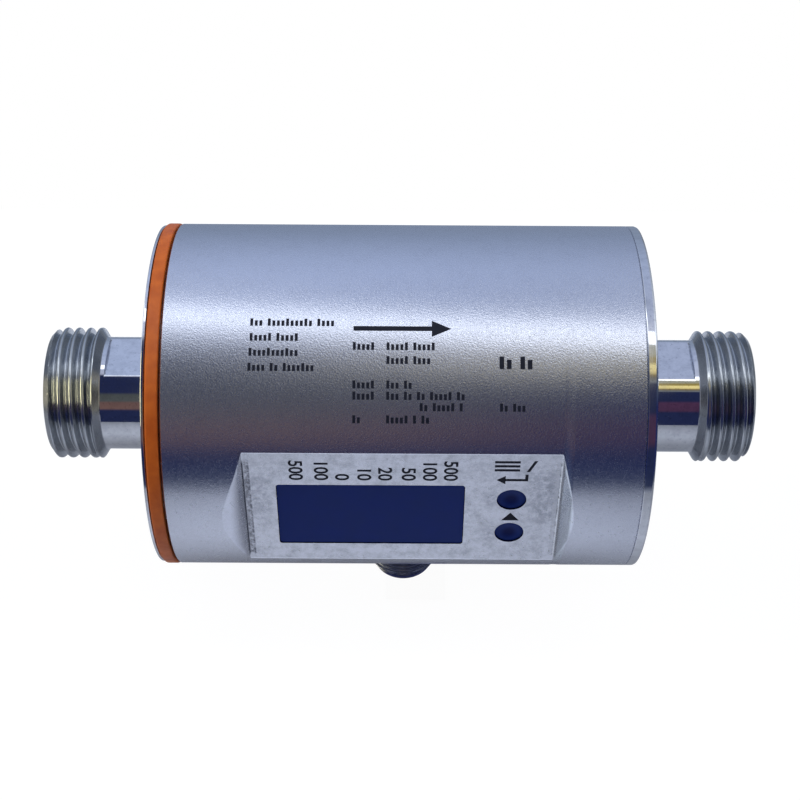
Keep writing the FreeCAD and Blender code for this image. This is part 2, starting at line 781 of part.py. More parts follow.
# Cable connector
def connector():
    post = turned("boss_post", "Z", [
        ("connector_hole", "-boss_face"),
        ("boss_radius - boss_edge", "-boss_face"),
        ("boss_radius", "boss_edge - boss_face"),
        ("boss_radius", "-shell_bore + boss_edge"),
        ("connector_hole", "-shell_bore + boss_edge"),
    ])
    move(post, x="connector_x")
    saddle = rod("boss_saddle", "X", "shell_radius + weld_gap", "4 * boss_radius",
                 x="connector_x - 2 * boss_radius")
    boss = cut("connector_boss", post, saddle)
    sleeve = turned("connector_sleeve", "Z", [
        ("socket_radius", "-connector_end"),
        ("connector_radius - connector_chamfer", "-connector_end"),
        ("connector_radius", "connector_chamfer_length - connector_end"),
        ("connector_radius", "-boss_face"),
        ("connector_shank", "-boss_face"),
        ("connector_shank", "-connector_seal_place - connector_groove_half"),
        ("connector_groove_radius", "-connector_seal_place - connector_groove_half"),
        ("connector_groove_radius", "connector_groove_half - connector_seal_place"),
        ("connector_shank", "connector_groove_half - connector_seal_place"),
        ("connector_shank", "-connector_rear"),
        ("insert_bore", "-connector_rear"),
        ("insert_bore", "-connector_seat"),
        ("socket_radius", "-connector_seat"),
    ])
    move(sleeve, x="connector_x")
    seal = o_ring("connector_seal", "Z", "connector_seal_radius", "connector_seal_section",
                  x="connector_x", z="-connector_seal_place")
    core = turned("insert_core", "Z", [
        ("0", "-insert_rear"),
        ("insert_radius", "-insert_rear"),
        ("insert_radius", "-connector_seat"),
        ("socket_radius - insert_clearance", "-connector_seat"),
        ("socket_radius - insert_clearance", "-connector_seat - insert_head"),
        ("0", "-connector_seat - insert_head"),
    ])
    move(core, x="connector_x")
    pins = []
    holes = []
    for i in range(PIN_COUNT):
        turn = "%g" % (360 / PIN_COUNT * (i + 0.5))
        x = "connector_x + pin_circle * cos(%s)" % turn
        y = "pin_circle * sin(%s)" % turn
        tail = "insert_rear - pin_tail"
        pins.append(rod("contact_pin_%d" % (i + 1), "Z", "pin_radius",
                        "connector_end - pin_recess - (%s)" % tail, x=x, y=y, z="pin_recess - connector_end"))
        holes.append(rod("pin_hole_%d" % (i + 1), "Z", "pin_radius + pin_clearance",
                         "connector_end - insert_rear", x=x, y=y, z="-connector_end"))
    insert = cut("connector_insert", core, group("pin_holes", holes))
    nut = new_body("connector_nut")
    corners = [("nut_corner * cos(%d)" % turn, "nut_corner * sin(%d)" % turn) for turn in range(0, 360, 60)]
    sketch = outline(nut, "XY_Plane", corners)
    bind(sketch, AttachmentOffset__Base__z="-nut_seat")
    pad(nut, sketch, "nut_thickness")
    move(nut, x="connector_x")
    nut_bore = rod("nut_bore", "Z", "connector_hole", "2 * nut_seat", x="connector_x", z="-2 * nut_seat")
    lock_nut = cut("connector_lock_nut", nut, nut_bore)
    return [boss, sleeve, seal, insert, group("connector_pins", pins), lock_nut]


# Leads between the pieces inside; a lead ends on the back of the main board
def leads():
    tails = "-(insert_rear - pin_tail - cable_radius - cable_gap)"
    past_yoke = "yoke_half_length + 5 * lead_radius"
    coil_middle = "(coil_low + coil_high) / 2"
    tail_side = "back_electrode_tail - lead_radius"
    made = [
        lead("connector_lead", "cable_radius", [
            ("connector_x", "0", tails),
            ("connector_x", "-7", tails),
            ("connector_x", "-11.5", "-16.5"),
            ("connector_x", "-12.5", "-12"),
            ("connector_x", "-board_back", "-12"),
        ]),
        lead("back_electrode_lead", "lead_radius", [
            ("electrode_radius", tail_side, "0"),
            (past_yoke, tail_side, "0"),
            (past_yoke, "12", "8"),
            (past_yoke, "4", "13"),
            (past_yoke, "-6", "12.5"),
            (past_yoke, "-11", "10"),
            (past_yoke, "-board_back", "10"),
        ]),
    ]
    for name, side in (("upper", ""), ("lower", "-")):
        made.append(lead(name + "_coil_lead", "lead_radius", [
            ("-coil_radius", "0", side + coil_middle),
            ("-10", "0", side + coil_middle),
            ("-10.5", "-5", side + coil_middle),
            ("-10.5", "-10.5", side + "10"),
            ("-10.5", "-board_back", side + "10"),
        ]))
    return made


PIECES = [
    housing_shell(), inlet_fitting(), outlet_fitting(), accent_ring(), *end_seals(),
    flow_tube(), *electrode_set("front", "-", "board_back"),
    *electrode_set("back", "", "back_electrode_tail"),
    *coil_set("upper", ""), *coil_set("lower", "-"), yoke(),
    board_bracket("inlet", "-bracket_x"), board_bracket("outlet", "bracket_x"), *board_stack(),
    display_window(), window_gasket(), *push_button("mode"), *push_button("set"), *connector(), *leads(),
]
document.recompute()

# Nothing is written unless every object is sound
for item in document.Objects:
    faults = [state for state in item.State if state in ("Invalid", "Error")]
    assert not faults, (item.Name, item.State)
for piece in PIECES:
    assert not piece.Shape.isNull() and piece.Shape.isValid(), piece.Label

os.makedirs("parts", exist_ok=True)
for piece in PIECES:
    piece.Shape.exportStep("parts/%s.step" % piece.Label)
print(len(PIECES), "pieces")
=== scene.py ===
import json
import math

import bmesh
import bpy
from mathutils import Matrix, Vector


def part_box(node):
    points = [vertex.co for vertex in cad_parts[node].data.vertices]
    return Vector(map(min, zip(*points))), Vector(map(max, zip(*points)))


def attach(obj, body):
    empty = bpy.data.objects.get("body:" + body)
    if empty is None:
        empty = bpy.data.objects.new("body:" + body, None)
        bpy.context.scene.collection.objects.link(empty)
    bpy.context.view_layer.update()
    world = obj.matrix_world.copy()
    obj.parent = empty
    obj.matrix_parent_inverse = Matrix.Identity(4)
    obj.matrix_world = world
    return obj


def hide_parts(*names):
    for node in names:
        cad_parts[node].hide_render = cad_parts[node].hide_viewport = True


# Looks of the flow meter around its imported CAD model. Metres, in the CAD's own frame: +X along the
# flow, the display looks along -Y, the connector points along -Z.

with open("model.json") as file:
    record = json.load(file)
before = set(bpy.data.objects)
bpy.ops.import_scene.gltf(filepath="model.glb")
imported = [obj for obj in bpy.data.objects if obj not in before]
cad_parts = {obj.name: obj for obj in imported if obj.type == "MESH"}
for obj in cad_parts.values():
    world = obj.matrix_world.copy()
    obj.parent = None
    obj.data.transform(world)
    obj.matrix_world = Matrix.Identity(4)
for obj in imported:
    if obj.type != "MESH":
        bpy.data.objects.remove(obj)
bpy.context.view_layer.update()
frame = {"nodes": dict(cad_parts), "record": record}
BODY = "meter"
MM = 0.001

# Sizes read from the frame
SHELL_INLET, SHELL_OUTLET = (corner.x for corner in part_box("housing_shell"))
SHELL_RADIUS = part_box("housing_shell")[1].z
PIPE_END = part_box("outlet_fitting")[1].x
CONNECTOR_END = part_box("connector_sleeve")[0].z
CONNECTOR_X = (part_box("connector_sleeve")[0].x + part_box("connector_sleeve")[1].x) / 2
BOSS_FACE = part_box("connector_boss")[0].z

# Sizes of the replaced solids
SHELL_WALL = 2.0 * MM
SHELL_EDGE = 0.15 * MM
FLAT_HEIGHT = 24.27 * MM
FLAT_LEFT = -22.8 * MM
FLAT_RIGHT = 23.7 * MM
END_SLOPE = math.radians(55)
END_FOOT = 0.3 * MM
LEFT_LIP = 5.0 * MM
RIGHT_LIP = 1.6 * MM
LIP_LEAD = 0.15 * MM
FLAT_HALF = math.sqrt(SHELL_RADIUS ** 2 - FLAT_HEIGHT ** 2)
WINDOW_CENTRE = (-4.2 * MM, -1.55 * MM)
WINDOW_SIZE = (27.9 * MM, 13.2 * MM)
WINDOW_CORNER = 0.5 * MM
BUTTON_X = 16.7 * MM
BUTTON_HEIGHTS = {"mode_button": 1.98 * MM, "set_button": -5.4 * MM}
BUTTON_HOLE = 2.2 * MM
# Painted shade in each button's dish: radius, softness and drop below the button's middle
DISH_RADIUS = 0.95 * MM
DISH_SOFT = 0.4 * MM
DISH_DROP = 0.45 * MM
CONNECTOR_HOLE = 5.5 * MM

FLOW_RADIUS = 6.5 * MM
NECK_RADIUS = 8.95 * MM
WRENCH_HALF = 7.9 * MM
NECK_LAND = 0.6 * MM
SPOT_RADIUS = 14.0 * MM
THREAD_LENGTH = 7.6 * MM
THREAD_SHOULDER = 1.0 * MM
THREAD_CREST = 10.42 * MM
THREAD_PITCH = 1.814 * MM
THREAD_HALF_ANGLE = math.radians(27.5)
THREAD_CHAMFER = 0.9 * MM
CONNECTOR_PITCH = 1.0 * MM
CONNECTOR_HALF_ANGLE = math.radians(30)
CONNECTOR_RADIUS = 6.0 * MM
PIPE_THREAD = (THREAD_CREST, THREAD_PITCH, THREAD_HALF_ANGLE)
CONNECTOR_THREAD = (CONNECTOR_RADIUS, CONNECTOR_PITCH, CONNECTOR_HALF_ANGLE)

# Points closer than this are one point
WELD = 0.0005 * MM


# Meshes
def new_mesh(name, vertices, faces, crease=math.radians(30)):
    """A closed mesh with welded points, outward faces, smooth shading and creases over an angle."""
    mesh = bpy.data.meshes.new(name)
    builder = bmesh.new()
    points = [builder.verts.new(place) for place in vertices]
    for face in faces:
        builder.faces.new([points[i] for i in face])
    bmesh.ops.remove_doubles(builder, verts=builder.verts, dist=WELD)
    bmesh.ops.dissolve_degenerate(builder, edges=builder.edges, dist=WELD)
    bmesh.ops.recalc_face_normals(builder, faces=builder.faces)
    builder.to_mesh(mesh)
    builder.free()
    shade(mesh, crease)
    return mesh


def shade(mesh, crease):
    for polygon in mesh.polygons:
        polygon.use_smooth = True
    mesh.set_sharp_from_angle(angle=crease)


def loft(rings, closed=True):
    """Faces between rings of as many points each; closed joins the last ring to the first."""
    count = len(rings[0])
    vertices = [place for ring in rings for place in ring]
    faces = []
    for k in range(len(rings) if closed else len(rings) - 1):
        low = k * count
        high = (k + 1) % len(rings) * count
        for i in range(count):
            j = (i + 1) % count
            faces.append((low + i, low + j, high + j, high + i))
    if not closed:
        faces.append(tuple(range(count)))
        faces.append(tuple(range((len(rings) - 1) * count, len(rings) * count)))
    return vertices, faces


def join_lofts(parts):
    """Vertices and faces of several closed solids, each a list of rings."""
    vertices = []
    faces = []
    for rings in parts:
        more, sides = loft(rings, closed=False)
        faces += [tuple(i + len(vertices) for i in face) for face in sides]
        vertices += more
    return vertices, faces


def add_object(name, data):
    thing = bpy.data.objects.new(name, data)
    bpy.context.scene.collection.objects.link(thing)
    return thing


def add_piece(name, mesh, slot, look=None, stands_for=None):
    """A piece of the meter; its look is its slot's where none is named."""
    piece = add_object(name, mesh)
    mesh.materials.append(LOOKS[look or slot])
    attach(piece, BODY)
    if stands_for:
        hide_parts(stands_for)
    return piece


def turns(count):
    return [2 * math.pi * i / count for i in range(count)]


def spin(profile, angles, point):
    """Rings of points; a corner is (along, radius) or (along, function from angle to radius)."""
    rings = []
    for along, radius in profile:
        radii = [radius(a) if callable(radius) else radius for a in angles]
        rings.append([Vector(point(along, r * math.cos(a), r * math.sin(a)))
                      for r, a in zip(radii, angles)])
    return rings


# Points round three axes, from the place along the axis and two distances from it
def round_meter(along, across, up):
    return along, across, up


def round_connector(along, across, up):
    return CONNECTOR_X + across, up, along


def round_button(height):
    return lambda along, across, up: (BUTTON_X + across, along, height + up)


# Roundings of a thread's crest and root, as shares of its pitch
CREST_SHARE = 0.19
ROOT_SHARE = 0.08


def thread_radius(along, crest, pitch, half_angle):
    """Radius of a rounded thread at a distance along the axis from a crest."""
    top = CREST_SHARE * pitch
    bottom = ROOT_SHARE * pitch
    offset = abs((along / pitch + 0.5) % 1.0 - 0.5) * pitch
    top_touch, bottom_touch = (rounding * math.cos(half_angle) for rounding in (top, bottom))
    top_drop, bottom_drop = (rounding * (1 - math.sin(half_angle)) for rounding in (top, bottom))
    depth = top_drop + bottom_drop + (pitch / 2 - top_touch - bottom_touch) / math.tan(half_angle)
    if offset < top_touch:
        return crest - top + math.sqrt(top ** 2 - offset ** 2)
    if offset > pitch / 2 - bottom_touch:
        rest = pitch / 2 - offset
        return crest - depth + bottom - math.sqrt(bottom ** 2 - rest ** 2)
    return crest - top_drop - (offset - top_touch) / math.tan(half_angle)


def threaded(crest, pitch, half_angle, along, fade, limit):
    """Function from angle to radius at one place of a thread, which fades in and stays under a limit."""
    def radius(angle):
        depth = crest - thread_radius(along - pitch * angle / (2 * math.pi), crest, pitch, half_angle)
        return min(crest - fade * depth, limit)
    return radius


def smooth_step(low, high, x):
    t = min(max((x - low) / (high - low), 0.0), 1.0)
    return t * t * (3 - 2 * t)


# Materials
def material_nodes(name, metallic=0.0, specular=0.5):
    material = bpy.data.materials.new(name)
    material.use_nodes = True
    tree = material.node_tree
    shader = tree.nodes["Principled BSDF"]
    shader.inputs["Metallic"].default_value = metallic
    shader.inputs["Specular IOR Level"].default_value = specular
    return material, tree, shader


def feed(tree, socket, source):
    """Link a node's output to a socket, or give the socket a value."""
    if isinstance(source, bpy.types.NodeSocket):
        tree.links.new(source, socket)
    else:
        socket.default_value = source


def add_node(tree, kind, **settings):
    node = tree.nodes.new(kind)
    for key, setting in settings.items():
        if key in node.inputs:
            feed(tree, node.inputs[key], setting)
        else:
            setattr(node, key, setting)
    return node


def noise(tree, size, detail=2.0, roughness=0.5, stretch=(1, 1, 1)):
    """Noise with grains of about one size, in the object's own coordinates."""
    place = add_node(tree, "ShaderNodeTexCoord").outputs["Object"]
    scale = add_node(tree, "ShaderNodeMapping", Vector=place, Scale=tuple(s / size for s in stretch))
    grain = add_node(tree, "ShaderNodeTexNoise", Vector=scale.outputs["Vector"], Scale=1.0,
                     Detail=detail, Roughness=roughness)
    return grain.outputs["Fac"]


def spread(tree, source, low, high, start=0.3, stop=0.7):
    """Map a range, by default a texture's middle, to two numbers."""
    settings = {"Value": source, "From Min": start, "From Max": stop, "To Min": low, "To Max": high}
    return add_node(tree, "ShaderNodeMapRange", **settings).outputs["Result"]


def mix_colours(tree, factor, first, second, kind="MIX"):
    node = add_node(tree, "ShaderNodeMix", data_type="RGBA", blend_type=kind, Factor=factor)
    for socket, colour in ((node.inputs[6], first), (node.inputs[7], second)):
        feed(tree, socket, (*colour, 1.0) if isinstance(colour, tuple) else colour)
    return node.outputs[2]


def places(tree, kind="Object"):
    """X, Y and Z, by default in the object's own coordinates, which are the CAD's."""
    place = add_node(tree, "ShaderNodeTexCoord").outputs[kind]
    split = add_node(tree, "ShaderNodeSeparateXYZ", Vector=place)
    return split.outputs["X"], split.outputs["Y"], split.outputs["Z"]


def calculate(tree, operation, first, second=0.0):
    node = add_node(tree, "ShaderNodeMath", operation=operation)
    for socket, source in zip(node.inputs, (first, second)):
        feed(tree, socket, source)
    return node.outputs[0]


def product(tree, first, *others):
    for factor in others:
        first = calculate(tree, "MULTIPLY", first, factor)
    return first


def length(tree, first, second):
    """Length of a line that runs this far along two axes."""
    squares = [calculate(tree, "POWER", value, 2.0) for value in (first, second)]
    return calculate(tree, "SQRT", calculate(tree, "ADD", *squares))


def blotches(tree, size, detail, roughness, low, high, share=1.0):
    """The upper part of a noise: nothing below low, a share of 1 above high."""
    return spread(tree, noise(tree, size, detail, roughness), 0.0, share, low, high)


def near(tree, value, centre, half, soft):
    """1 within half of the centre, fading to 0 over soft."""
    distance = calculate(tree, "ABSOLUTE", calculate(tree, "SUBTRACT", value, centre))
    return spread(tree, distance, 1.0, 0.0, half, half + soft)


def paint(tree, shader, tone, rough):
    feed(tree, shader.inputs["Base Color"], tone)
    feed(tree, shader.inputs["Roughness"], rough)


def bump(tree, shader, height, strength, distance):
    node = add_node(tree, "ShaderNodeBump", Height=height, Strength=strength, Distance=distance)
    feed(tree, shader.inputs["Normal"], node.outputs["Normal"])


# Painted shade in the creases, a painted shadow and a painted highlight at the right foot, and grime
# strips beside them
# Lines along the feet of the flat's end walls: x, half width, whether blotches break it up, colour
LINE_SOFT = 0.1 * MM
FOOT_SHADE_AND_DIRT_LINES = (
    (FLAT_LEFT + 0.5 * MM, 0.35 * MM, True, (0.17, 0.175, 0.2)),
    (FLAT_LEFT + 0.8 * MM, 0.09 * MM, True, (0.14, 0.145, 0.17)),
    # painted shade in the crease at the left wall's foot
    (FLAT_LEFT - 0.02 * MM, 0.05 * MM, False, (0.045, 0.048, 0.065)),
    (FLAT_RIGHT - 0.45 * MM, 0.3 * MM, True, (0.46, 0.47, 0.51)),
    # painted shadow, painted highlight and painted crease shade at the right wall's foot
    (FLAT_RIGHT + 0.3 * MM, 0.1 * MM, False, (0.34, 0.35, 0.37)),
    (FLAT_RIGHT + 0.02 * MM, 0.08 * MM, False, (0.78, 0.8, 0.84)),
    (FLAT_RIGHT - 0.1 * MM, 0.04 * MM, True, (0.22, 0.23, 0.25)),
)
# Blotchy darkening towards the ends of the flat: x and z of the middle, half sizes, share
END_DARKENING_SOFT = 2.2 * MM
END_DARKENING = (
    (FLAT_LEFT + 2.0 * MM, 2.5 * MM, 0.6 * MM, 3.5 * MM, 0.6),
    (FLAT_RIGHT - 2.0 * MM, 2.5 * MM, 1.0 * MM, 4.0 * MM, 0.85),
)
# Blotches: size, detail and roughness of the noise, where they start and where they are full, share
STEEL_STAINS = (2.6 * MM, 6.0, 0.7, 0.45, 0.75, 0.7)
FLAT_PATCHES = (2.2 * MM, 8.0, 0.74, 0.44, 0.66, 0.9)
FLAT_SPOTS = (1.1 * MM, 7.0, 0.72, 0.36, 0.62)
FLAT_DIRT_AND_SHADE_BLOTCHES = (0.5 * MM, 6.0, 0.75, 0.38, 0.6)
WATER_SPOTS = (0.45 * MM, 3.0, 0.6, 0.6, 0.72, 0.6)
# Colours of the shell, painted shade, sheen and highlight tones among them
STEEL = (0.56, 0.58, 0.655)
STEEL_STAINED = (0.47, 0.485, 0.55)
STEEL_SPARKLE = (0.6, 0.62, 0.7)
FLAT_PATCH_TONE = (0.37, 0.39, 0.435)
FLAT_TINT = (1.0, 0.985, 0.96)
END_DARKENING_TONE = (0.29, 0.305, 0.345)
WALL_SHEEN_TONE = (0.75, 0.81, 0.88)
SMUDGE_TONE = (0.26, 0.27, 0.31)
HOLE_SHADE_TONE = (0.015, 0.018, 0.03)
RIM_HIGHLIGHT_TONE = (0.8, 0.82, 0.88)
FLAT_MIDDLE = (FLAT_LEFT + FLAT_RIGHT) / 2
FLAT_HALF_LENGTH = (FLAT_RIGHT - FLAT_LEFT) / 2
# Where the flat's finish comes in behind its face, and where it ends on the walls in front (both y)
FLAT_STARTS = (0.2 * MM - FLAT_HEIGHT, 0.05 * MM - FLAT_HEIGHT)
FLAT_STOPS = (-0.3 * MM - FLAT_HEIGHT, -0.8 * MM - FLAT_HEIGHT)
FOOT_WIDTH = 0.45 * MM
EDGE_SOFT = 0.1 * MM
# The lines stop short of the flat's long edges: middle, half length and softness along z
LINE_REACH = (-0.3 * MM, FLAT_HALF - 1.9 * MM, 0.9 * MM)
# The end walls lie below the round of the shell, by these distances from the axis
WALL_STARTS = (SHELL_RADIUS - 0.15 * MM, SHELL_RADIUS - 0.02 * MM)
# The right wall gets a painted sheen, brighter over this much to each side of a place as far from the
# flat
WALL_REACH = 2.0 * MM
WALL_SHEEN_SHARE = 0.75
# Shades on the walls: x where they come in, x over which they fade, share, middle, half and softness
# along z, colour
WALL_SHADES = (
    ((FLAT_RIGHT, FLAT_RIGHT + 0.05 * MM), (FLAT_RIGHT + 0.3 * MM, FLAT_RIGHT + 1.32 * MM),
     0.5, -4.5 * MM, 2.0 * MM, 6.0 * MM, (0.27, 0.29, 0.33)),
    ((FLAT_LEFT + 0.05 * MM, FLAT_LEFT), (FLAT_LEFT - 0.1 * MM, FLAT_LEFT - 2.2 * MM),
     0.7, -0.5 * MM, 3.0 * MM, 7.0 * MM, (0.27, 0.28, 0.32)),
)
# Smudges left of the buttons: distance, half and softness along x and along z, share
SMUDGE_AWAY = 2.9 * MM
SMUDGE_ACROSS = (0.4 * MM, 1.6 * MM)
SMUDGE_UP = (0.6 * MM, 1.8 * MM)
SMUDGE_SHARE = 0.6
# The holes' walls carry painted shade from this far behind the flat's face
HOLE_SHADE_STARTS = 0.1 * MM
# Painted highlight along the flat's long edges: inset, half width, softness
RIM_HIGHLIGHT_LINE = (0.02 * MM, 0.05 * MM, 0.1 * MM)
# The blasting is finer low down on the shell than above
SPARKLE_GRAIN = 0.25 * MM
FINE_HEIGHT = 9.0 * MM
COARSE_HEIGHT = 18.0 * MM
FINE_SHARE = 0.42


def end_walls(tree, tone, x, y, z):
    """The tone with a painted sheen and painted shade on the end walls of the flat."""
    on_wall = spread(tree, length(tree, y, z), 1.0, 0.0, *WALL_STARTS)
    # painted sheen on the right end wall
    wall_sheen = near(tree, x, FLAT_RIGHT + WALL_REACH, 0.8 * WALL_REACH, 0.2 * WALL_REACH)
    tone = mix_colours(tree, product(tree, on_wall, wall_sheen, WALL_SHEEN_SHARE), tone, WALL_SHEEN_TONE)
    for start, fade, share, middle, half, soft, colour in WALL_SHADES:
        along = product(tree, spread(tree, x, share, 0.0, *fade), spread(tree, x, 0.0, 1.0, *start))
        shaded = product(tree, along, near(tree, z, middle, half, soft), on_wall)
        tone = mix_colours(tree, shaded, tone, colour)
    return tone


def flat_marks(tree, tone, x, z, on_flat, on_floor):
    """The tone with painted shade and highlight lines and grime at the feet of the end walls, and grime
    smudges by the buttons.
    """
    dirt_and_shade_blotches = blotches(tree, *FLAT_DIRT_AND_SHADE_BLOTCHES)
    on_line = product(tree, on_floor, near(tree, z, *LINE_REACH))
    # painted shade and highlight lines and grime strips, some broken up by blotches
    for line_at, half, broken, colour in FOOT_SHADE_AND_DIRT_LINES:
        line = product(tree, near(tree, x, line_at, half, LINE_SOFT), on_line)
        if broken:
            line = product(tree, line, dirt_and_shade_blotches)
        tone = mix_colours(tree, line, tone, colour)
    for height in BUTTON_HEIGHTS.values():
        smudge = product(tree, near(tree, x, BUTTON_X - SMUDGE_AWAY, *SMUDGE_ACROSS),
                         near(tree, z, height, *SMUDGE_UP), dirt_and_shade_blotches, on_flat, SMUDGE_SHARE)
        tone = mix_colours(tree, smudge, tone, SMUDGE_TONE)
    return tone


def hole_shade_and_rim_highlight(tree, tone, x, y, z, on_flat):
    """The tone with painted shade on the walls of the flat's holes and a painted highlight along its
    long edges.
    """
    # painted shade on the walls of the holes
    hole_shade = product(tree, near(tree, x, FLAT_MIDDLE, 0.9 * FLAT_HALF_LENGTH, MM),
                      near(tree, z, 0.0, FLAT_HALF - 1.5 * MM, 0.5 * MM),
                      near(tree, y, SHELL_WALL - FLAT_HEIGHT, SHELL_WALL - HOLE_SHADE_STARTS, 0.05 * MM))
    tone = mix_colours(tree, hole_shade, tone, HOLE_SHADE_TONE)
    # painted highlight along the flat's long edges
    inset, half, soft = RIM_HIGHLIGHT_LINE
    rim = product(tree, near(tree, calculate(tree, "ABSOLUTE", z), FLAT_HALF - inset, half, soft),
                  near(tree, x, FLAT_MIDDLE, FLAT_HALF_LENGTH, EDGE_SOFT), on_flat)
    return mix_colours(tree, rim, tone, RIM_HIGHLIGHT_TONE)


def blasted_steel():
    """Bead-blasted stainless steel: sparkling grain, soft stains and grime, with painted shade, sheen
    and highlights on the flat.
    """
    material, tree, shader = material_nodes("blasted_steel", metallic=1.0)
    x, y, z = places(tree)
    grain = noise(tree, SPARKLE_GRAIN, roughness=0.6)
    tone = mix_colours(tree, blotches(tree, *STEEL_STAINS), STEEL, STEEL_STAINED)
    tone = mix_colours(tree, spread(tree, grain, 0.0, 1.0, 0.35, 0.65), tone, STEEL_SPARKLE)
    on_flat = product(tree, spread(tree, y, 0.0, 1.0, *FLAT_STARTS),
                      near(tree, x, FLAT_MIDDLE, FLAT_HALF_LENGTH + FOOT_WIDTH, EDGE_SOFT))
    on_floor = product(tree, on_flat, spread(tree, y, 1.0, 0.0, *FLAT_STOPS))
    patches = product(tree, blotches(tree, *FLAT_PATCHES), on_floor)
    tone = mix_colours(tree, patches, tone, FLAT_PATCH_TONE)
    tone = mix_colours(tree, on_floor, tone, FLAT_TINT, "MULTIPLY")
    spots = product(tree, blotches(tree, *FLAT_SPOTS), on_floor)
    # blotchy darkening towards the ends of the flat
    for darkening_x, darkening_z, half_x, half_z, share in END_DARKENING:
        end_darkening = product(tree, near(tree, x, darkening_x, half_x, END_DARKENING_SOFT),
                        near(tree, z, darkening_z, half_z, END_DARKENING_SOFT), spots, share)
        tone = mix_colours(tree, end_darkening, tone, END_DARKENING_TONE)
    tone = end_walls(tree, tone, x, y, z)
    tone = flat_marks(tree, tone, x, z, on_flat, on_floor)
    tone = hole_shade_and_rim_highlight(tree, tone, x, y, z, on_flat)
    paint(tree, shader, tone, spread(tree, noise(tree, 0.5 * MM), 0.21, 0.28))
    coarse = spread(tree, z, FINE_SHARE, 1.0, FINE_HEIGHT, COARSE_HEIGHT)
    bump(tree, shader, product(tree, grain, coarse), strength=1.0, distance=0.03 * MM)
    return material


def polished_steel():
    """Turned and polished stainless steel with faint turning marks, smudges and water spots."""
    material, tree, shader = material_nodes("polished_steel", metallic=1.0)
    smudges = noise(tree, 1.4 * MM, detail=6.0, roughness=0.7)
    smudged = spread(tree, smudges, 0.0, 1.0, start=0.42, stop=0.72)
    tone = mix_colours(tree, smudged, (0.66, 0.67, 0.71), (0.52, 0.53, 0.57))
    tone = mix_colours(tree, blotches(tree, *WATER_SPOTS), tone, (0.34, 0.35, 0.38))
    paint(tree, shader, tone, spread(tree, smudges, 0.03, 0.08))
    marks = noise(tree, 0.12 * MM, detail=1.0, stretch=(1, 0.05, 0.05))
    bump(tree, shader, marks, strength=0.06, distance=0.01 * MM)
    return material


# Width of the rings that the tool leaves
RING_MARKS = 0.16 * MM


def turned_steel():
    """A faced end: rings left by the tool, duller than the polished round."""
    material, tree, shader = material_nodes("turned_steel", metallic=1.0)
    _, y, z = places(tree)
    rings = add_node(tree, "ShaderNodeTexNoise", noise_dimensions="1D", W=length(tree, y, z),
                     Scale=1 / RING_MARKS, Detail=3.0)
    smudges = noise(tree, 1.8 * MM, detail=5.0, roughness=0.65)
    smudged = spread(tree, smudges, 0.0, 1.0, start=0.4, stop=0.7)
    tone = mix_colours(tree, smudged, (0.6, 0.61, 0.645), (0.5, 0.51, 0.545))
    paint(tree, shader, tone, spread(tree, rings.outputs["Fac"], 0.24, 0.34))
    bump(tree, shader, rings.outputs["Fac"], strength=0.35, distance=0.012 * MM)
    return material


def coloured(name, colour, other, rough, size=0.5 * MM, grain=0.1, metallic=0.0, specular=0.5):
    """A finish with soft changes of tone and gloss and a fine surface grain."""
    material, tree, shader = material_nodes(name, metallic, specular)
    patches = noise(tree, 4 * size, detail=3.0)
    fine = noise(tree, size)
    tone = mix_colours(tree, spread(tree, patches, 0.0, 1.0), colour, other)
    paint(tree, shader, tone, spread(tree, fine, rough * 0.85, rough * 1.15))
    bump(tree, shader, fine, grain, distance=0.02 * MM)
    return material


# Two colours that the rubber changes between, and the painted shade in the dish
RUBBER = (0.008, 0.0265, 0.168)
RUBBER_DARKER = (0.007, 0.0235, 0.148)
RUBBER_DISH_SHADE = (0.003, 0.0095, 0.084)
RUBBER_ROUGHNESS = 0.42


def button_rubber():
    """Dark rubber, with painted shade in the dish of each button."""
    material, tree, shader = material_nodes("button_rubber", specular=0.08)
    x, _, z = places(tree)
    fine = noise(tree, 0.25 * MM)
    tone = mix_colours(tree, spread(tree, fine, 0.0, 1.0), RUBBER, RUBBER_DARKER)
    across = calculate(tree, "SUBTRACT", x, BUTTON_X)
    for height in BUTTON_HEIGHTS.values():
        # painted shade in each dish, its middle below the button's middle
        up = calculate(tree, "SUBTRACT", z, height - DISH_DROP)
        away = length(tree, across, up)
        dish = spread(tree, away, 1.0, 0.0, DISH_RADIUS - DISH_SOFT, DISH_RADIUS + DISH_SOFT)
        tone = mix_colours(tree, dish, tone, RUBBER_DISH_SHADE)
    paint(tree, shader, tone, RUBBER_ROUGHNESS)
    bump(tree, shader, fine, strength=0.12, distance=0.02 * MM)
    return material


